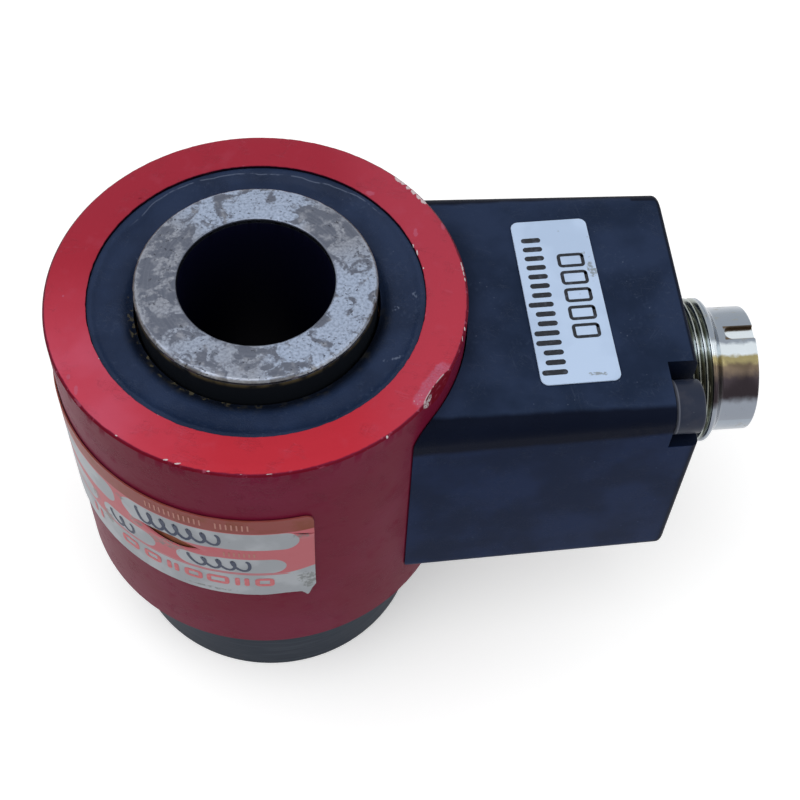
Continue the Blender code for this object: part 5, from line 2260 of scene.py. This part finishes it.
@dataclass
class RatingLabel(SubAssembly):
    """Long label round the housing: torn, creased and written on with a pen."""

    gap: float = LABEL_GAP
    thickness: float = FILM_THICKNESS
    corner: float = 1.1
    columns: int = 150
    rows: int = 56
    tear_half: float = 0.85
    notch: tuple[Place, ...] = ((-0.4, 3.55), (0.9, 3.15), (2.2, 2.75))
    notch_half: float = 0.16

    def upper(self, s: float) -> float:
        """Give the upper edge of the film at s.

        Args:
            s: Place along the label.

        Returns:
            How far down the edge lies.
        """
        near = min(s, WRAP.length - s)
        if near >= self.corner:
            return 0.0
        return self.corner - math.sqrt(self.corner**2 - (self.corner - near) ** 2)

    def lower(self, s: float) -> float:
        """Give the lower edge of the film at s, with the torn tip near the right end.

        Args:
            s: Place along the label.

        Returns:
            How far down the edge lies.
        """
        stops = ((0.0, 14.3), (0.5, 15.0), (0.75, 16.1), (0.95, 16.5), (1.12, 15.9), (1.5, 15.45),
        (6.0, 15.75),
                 (14.0, 15.9), (WRAP.length, 15.9))
        for (a, low), (b, high) in zip(stops, stops[1:]):
            if a <= s <= b:
                edge = low + (high - low) * (s - a) / (b - a)
                ragged = 0.05 * smooth_noise(Vector((s * 1.7, 3.0, 0)))
                end = WRAP.length - s
                return edge + ragged - (self.corner - min(end, self.corner)) * 0.4
        return WRAP.height

    def lift(self, s: float, v: float) -> float:
        """Give how far the film stands off the wall beside its tears and its torn corner.

        Args:
            s: Place along the label.
            v: Place down the label.

        Returns:
            The distance from the wall.
        """
        lip = 0.0
        for (a, b), (c, d) in zip(TEAR, TEAR[1:]):
            share = ((s - a) * (c - a) + (v - b) * (d - b)) / ((c - a) ** 2 + (d - b) ** 2)
            along = max(0.0, min(1.0, share))
            away = math.hypot(s - a - (c - a) * along, v - b - (d - b) * along)
            lip = max(lip, math.exp(-((away - self.tear_half) ** 2) / 0.5))
        corner = math.exp(-((s - 0.4) ** 2 + (v - 15.4) ** 2) / 2.2)
        short = math.exp(-(((s - 1.0) * 0.8) ** 2 + ((v - 3.4) * 1.4) ** 2) / 0.8)
        wave = 0.03 * smooth_noise(Vector((s * 0.5, v * 0.7, 1.0)))
        return 0.14 * lip + 0.3 * corner + 0.2 * short + max(0.0, wave)

    def film(self) -> Piece:
        """Bend the film round the housing and cut the tear out of it.

        Returns:
            The film.
        """
        points: list[Vector] = []
        for proud in (self.gap, self.gap + self.thickness):
            for column in range(self.columns + 1):
                share = column / self.columns
                s = WRAP.length * (share * 0.6 + 0.4 * share * share)
                top, bottom = self.upper(s), self.lower(s)
                for row in range(self.rows + 1):
                    v = top + (bottom - top) * row / self.rows
                    points.append(WRAP.point(s, v, proud + self.lift(s, v)))
        tall = self.rows + 1
        layer = (self.columns + 1) * tall
        faces = []
        for column in range(self.columns):
            for row in range(self.rows):
                at = column * tall + row
                faces.append((at, at + 1, at + tall + 1, at + tall))
                faces.append((at + layer, at + layer + tall, at + layer + tall + 1, at + layer + 1))
        border = [column * tall for column in range(self.columns)]
        border += [self.columns * tall + row for row in range(self.rows)]
        border += [column * tall + self.rows for column in range(self.columns, 0, -1)]
        border += list(range(self.rows, 0, -1))
        for near, far in zip(border, border[1:] + border[:1]):
            faces.append((near, far, far + layer, near + layer))
        film = make_piece("rating_film", points, faces, sharp=50)
        carve(film, self.tear_tool(TEAR, self.tear_half), sharp=50)
        carve(film, self.tear_tool(self.notch, self.notch_half), sharp=50)
        return film

    def tear_tool(self, path: Sequence[Place], widest: float) -> Piece:
        """Make the leaf-shaped cutter for a tear.

        Args:
            path: Middle line of the tear on the unrolled wall.
            widest: Half its width in the middle.

        Returns:
            The cutter.
        """
        steps = 24
        upper_edge, lower_edge = [], []
        for step in range(steps + 1):
            share = step / steps
            place = share * (len(path) - 1)
            leg = min(int(place), len(path) - 2)
            (a, b), (c, d) = path[leg], path[leg + 1]
            s, v = a + (c - a) * (place - leg), b + (d - b) * (place - leg)
            half = max(0.02, widest * math.sin(math.pi * share))
            upper_edge.append((s, v - half))
            lower_edge.append((s, v + half))
        outline = upper_edge + lower_edge[::-1]
        count = len(outline)
        points = [WRAP.point(s, v, proud) for proud in (0.02, 2.0) for s, v in outline]
        faces: Faces = []
        for step in range(steps):
            other = count - 1 - step
            faces.append((step, step + 1, other - 1, other))
            faces.append((step + count, other + count, other - 1 + count, step + 1 + count))
        faces += stack_faces(count, ends=False)
        return make_piece("tear_tool", points, faces)

    def surface(self, s: float, v: float, height: float) -> Vector:
        """Give the place of (s, v, height above the film's base)."""
        return WRAP.point(s, v, self.gap + height + self.lift(s, v))

    def blocks(self) -> list[Stroke]:
        """Lay out the bold salmon boxes and bars of the lower strip.

        Returns:
            The strokes.
        """
        places = (
            (5.2, 1.7), (7.5, 1.6), (10.0, 2.1), (12.6, 1.7), (14.9, 1.4),
            (17.3, 1.8), (20.2, 2.0), (25.4, 1.9),
        )
        strokes = []
        for number, (s, wide) in enumerate(places):
            if number % 3 == 1:
                strokes += [bar(s - wide * 0.3, 12.85, 0.5, 1.7), bar(s + wide * 0.3, 12.85, 0.5, 1.7)]
            else:
                strokes.append(ring(s, 12.85, wide - 0.2, 1.25, 0.46))
        return strokes

    def small_print(self) -> list[Stroke]:
        """Lay out the pale bars of the copper strip and those between the windows.

        Returns:
            The strokes.
        """
        strokes = [bar(6.4 + 0.52 * number, 1.3, 0.17, 1.1) for number in range(21) if number not in (7, 8)]
        strokes += [bar(6.0 + 0.5 * number, 6.95, 0.17, 0.85) for number in range(7)]
        return strokes

    def backing(self) -> list[Stroke]:
        """Lay out the layer of paper that stayed on the wall inside the long tear."""
        return [Stroke(TEAR, 2 * self.tear_half + 0.5)]

    def pen_marks(self) -> list[Stroke]:
        """Lay out loose loops of pen that say nothing.

        Returns:
            The strokes.
        """
        strokes = []
        for first, last, middle, high in (
            (18.0, 9.4, 4.35, 1.0), (22.2, 19.4, 9.5, 0.9),
            (12.6, 6.6, 9.4, 0.95),
        ):
            count = max(2, round((first - last) / 1.35))
            path = []
            for step in range(14 * count + 1):
                share = step / (14 * count)
                turn = math.tau * count * share
                s = first + (last - first) * share + 0.42 * math.sin(turn)
                path.append((s + 0.2 * math.cos(turn), middle - high * math.cos(turn)))
            strokes.append(Stroke(tuple(path), 0.34))
        return strokes

    def build(self) -> list[Piece]:
        """Build the film and its three kinds of marks.

        Returns:
            The dressed pieces.
        """
        pieces = [self.dress(self.film(), RATING_FILM, "label_film", "rating_label")]
        low = self.thickness + 0.02
        marks = (
            ("rating_blocks", self.blocks(), SALMON_INK),
            ("rating_small_print", self.small_print(), PALE_INK),
            ("rating_pen_marks", self.pen_marks(), PEN_INK),
        )
        for name, strokes, ink in marks:
            piece = ink_piece(name, strokes, self.surface, low, low + INK_THICKNESS)
            pieces.append(self.dress(piece, ink, "label_film"))
        paper = ink_piece("rating_backing", self.backing(), WRAP.point, 0.02, 0.08)
        pieces.append(self.dress(paper, TORN_PAPER, "label_film"))
        return pieces


@dataclass
class InnerWorks(SubAssembly):
    """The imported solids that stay: they keep their meshes and get their finishes."""

    slots: dict[str, Finish] = field(default_factory=lambda: INNER_FINISHES)

    def build(self) -> list[Piece]:
        """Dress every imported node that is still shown.

        Returns:
            The dressed pieces.
        """
        kept = []
        for part in frame["record"]["subparts"]:
            node = frame["nodes"][part["node"]]
            if node.hide_render:
                continue
            finish = self.slots[part["material_slot"]]
            for slot in node.material_slots:
                slot.material = finish.material()
            kept.append(node)
            LOG.info("%s keeps its solid, in %s", node.name, finish.name)
        return kept


@dataclass
class Studio:
    """Pale floor, soft lamps, even surroundings and the photograph's camera."""

    camera_place: tuple[float, float, float] = (-14.037, -91.083, 170.219)
    right: tuple[float, float, float] = (0.9954132, -0.0893759, 0.0341245)
    down: tuple[float, float, float] = (-0.0561091, -0.8343064, -0.5484383)
    forward: tuple[float, float, float] = (0.0774877, 0.5440081, -0.8354944)
    lens: float = 67.724
    surround: float = 0.6
    floor_reach: float = 3.0
    floor_camera: Colour = (0.98, 0.98, 0.98)
    floor_bounce: Colour = (0.36, 0.36, 0.37)
    floor_glow: float = 0.26

    def camera(self) -> None:
        """Set the camera where the photograph was taken from."""
        data = bpy.data.cameras.new("photo_camera")
        data.lens = self.lens
        data.clip_start = 0.001
        camera = bpy.data.objects.new("photo_camera", data)
        axes = Matrix((self.right, [-v for v in self.down], [-v for v in self.forward])).transposed().to_4x4()
        camera.matrix_world = Matrix.Translation(Vector(self.camera_place) * MM) @ axes
        bpy.context.scene.collection.objects.link(camera)
        bpy.context.scene.camera = camera

    def world(self) -> None:
        """Make the even surroundings, plain white where they are seen."""
        world = bpy.data.worlds.new("surroundings")
        world.use_nodes = True
        sheet = NodeSheet(world.node_tree)
        background = sheet.tree.nodes["Background"].inputs
        sheet.feed(background["Color"], WHITE)
        sheet.feed(background["Strength"], sheet.between(sheet.seen(), self.surround, 1.0))
        bpy.context.scene.world = world

    def floor(self) -> None:
        """Lay the pale floor that keeps the sensor's shadow."""
        reach = self.floor_reach
        mesh = bpy.data.meshes.new("floor")
        corners = [(-reach, -reach, 0), (reach, -reach, 0), (reach, reach, 0), (-reach, reach, 0)]
        mesh.from_pydata(corners, [], [(0, 1, 2, 3)])
        floor = bpy.data.objects.new("floor", mesh)
        bpy.context.scene.collection.objects.link(floor)
        material = bpy.data.materials.new("floor_paint")
        material.use_nodes = True
        sheet = NodeSheet(material.node_tree)
        shader = sheet.tree.nodes["Principled BSDF"].inputs
        sheet.feed(shader["Roughness"], 1.0)
        sheet.feed(shader["Specular IOR Level"], 0.0)
        sheet.feed(shader["Base Color"], sheet.mix(sheet.seen(), self.floor_bounce, self.floor_camera))
        sheet.feed(shader["Emission Strength"], sheet.both(sheet.seen(), self.floor_glow))
        sheet.feed(shader["Emission Color"], WHITE)
        mesh.materials.append(material)

    def lamp(self, name: str, place: tuple[float, float, float], size: float, power: float) -> None:
        """Hang one soft lamp that points at the sensor.

        Args:
            name: Name of the lamp.
            place: Where it hangs, in metres.
            size: Width of its square face, in metres.
            power: Its power in watts.
        """
        data = bpy.data.lights.new(name, "AREA")
        data.shape = "SQUARE"
        data.size = size
        data.energy = power
        lamp = bpy.data.objects.new(name, data)
        lamp.location = place
        aim = Vector((0, 0, 0.03)) - Vector(place)
        lamp.rotation_euler = aim.to_track_quat("-Z", "Y").to_euler()
        bpy.context.scene.collection.objects.link(lamp)

    def set_up(self) -> None:
        """Set up camera, surroundings, floor and lamps."""
        self.camera()
        self.world()
        self.floor()
        self.lamp("key_lamp", (-0.3, -0.2, 0.8), 0.9, 3.4)
        self.lamp("fill_lamp", (0.6, -0.45, 0.45), 0.6, 1.2)
        bpy.context.scene.view_settings.view_transform = "Standard"


def main() -> None:
    """Build every sub-assembly in order, then the studio, and note the sizes."""
    logging.basicConfig(level=logging.INFO, format="%(name)s: %(message)s")
    assemblies: tuple[SubAssembly, ...] = (
        MeasuringBody(),
        TopSeal(),
        Housing(),
        ConnectionBox(),
        Connector(),
        SerialLabel(),
        RatingLabel(),
        InnerWorks(),
    )
    for assembly in assemblies:
        pieces = assembly.build()
        LOG.info("%s: %d pieces", type(assembly).__name__, len(pieces))
    Studio().set_up()


if __name__ == "__main__":
    main()
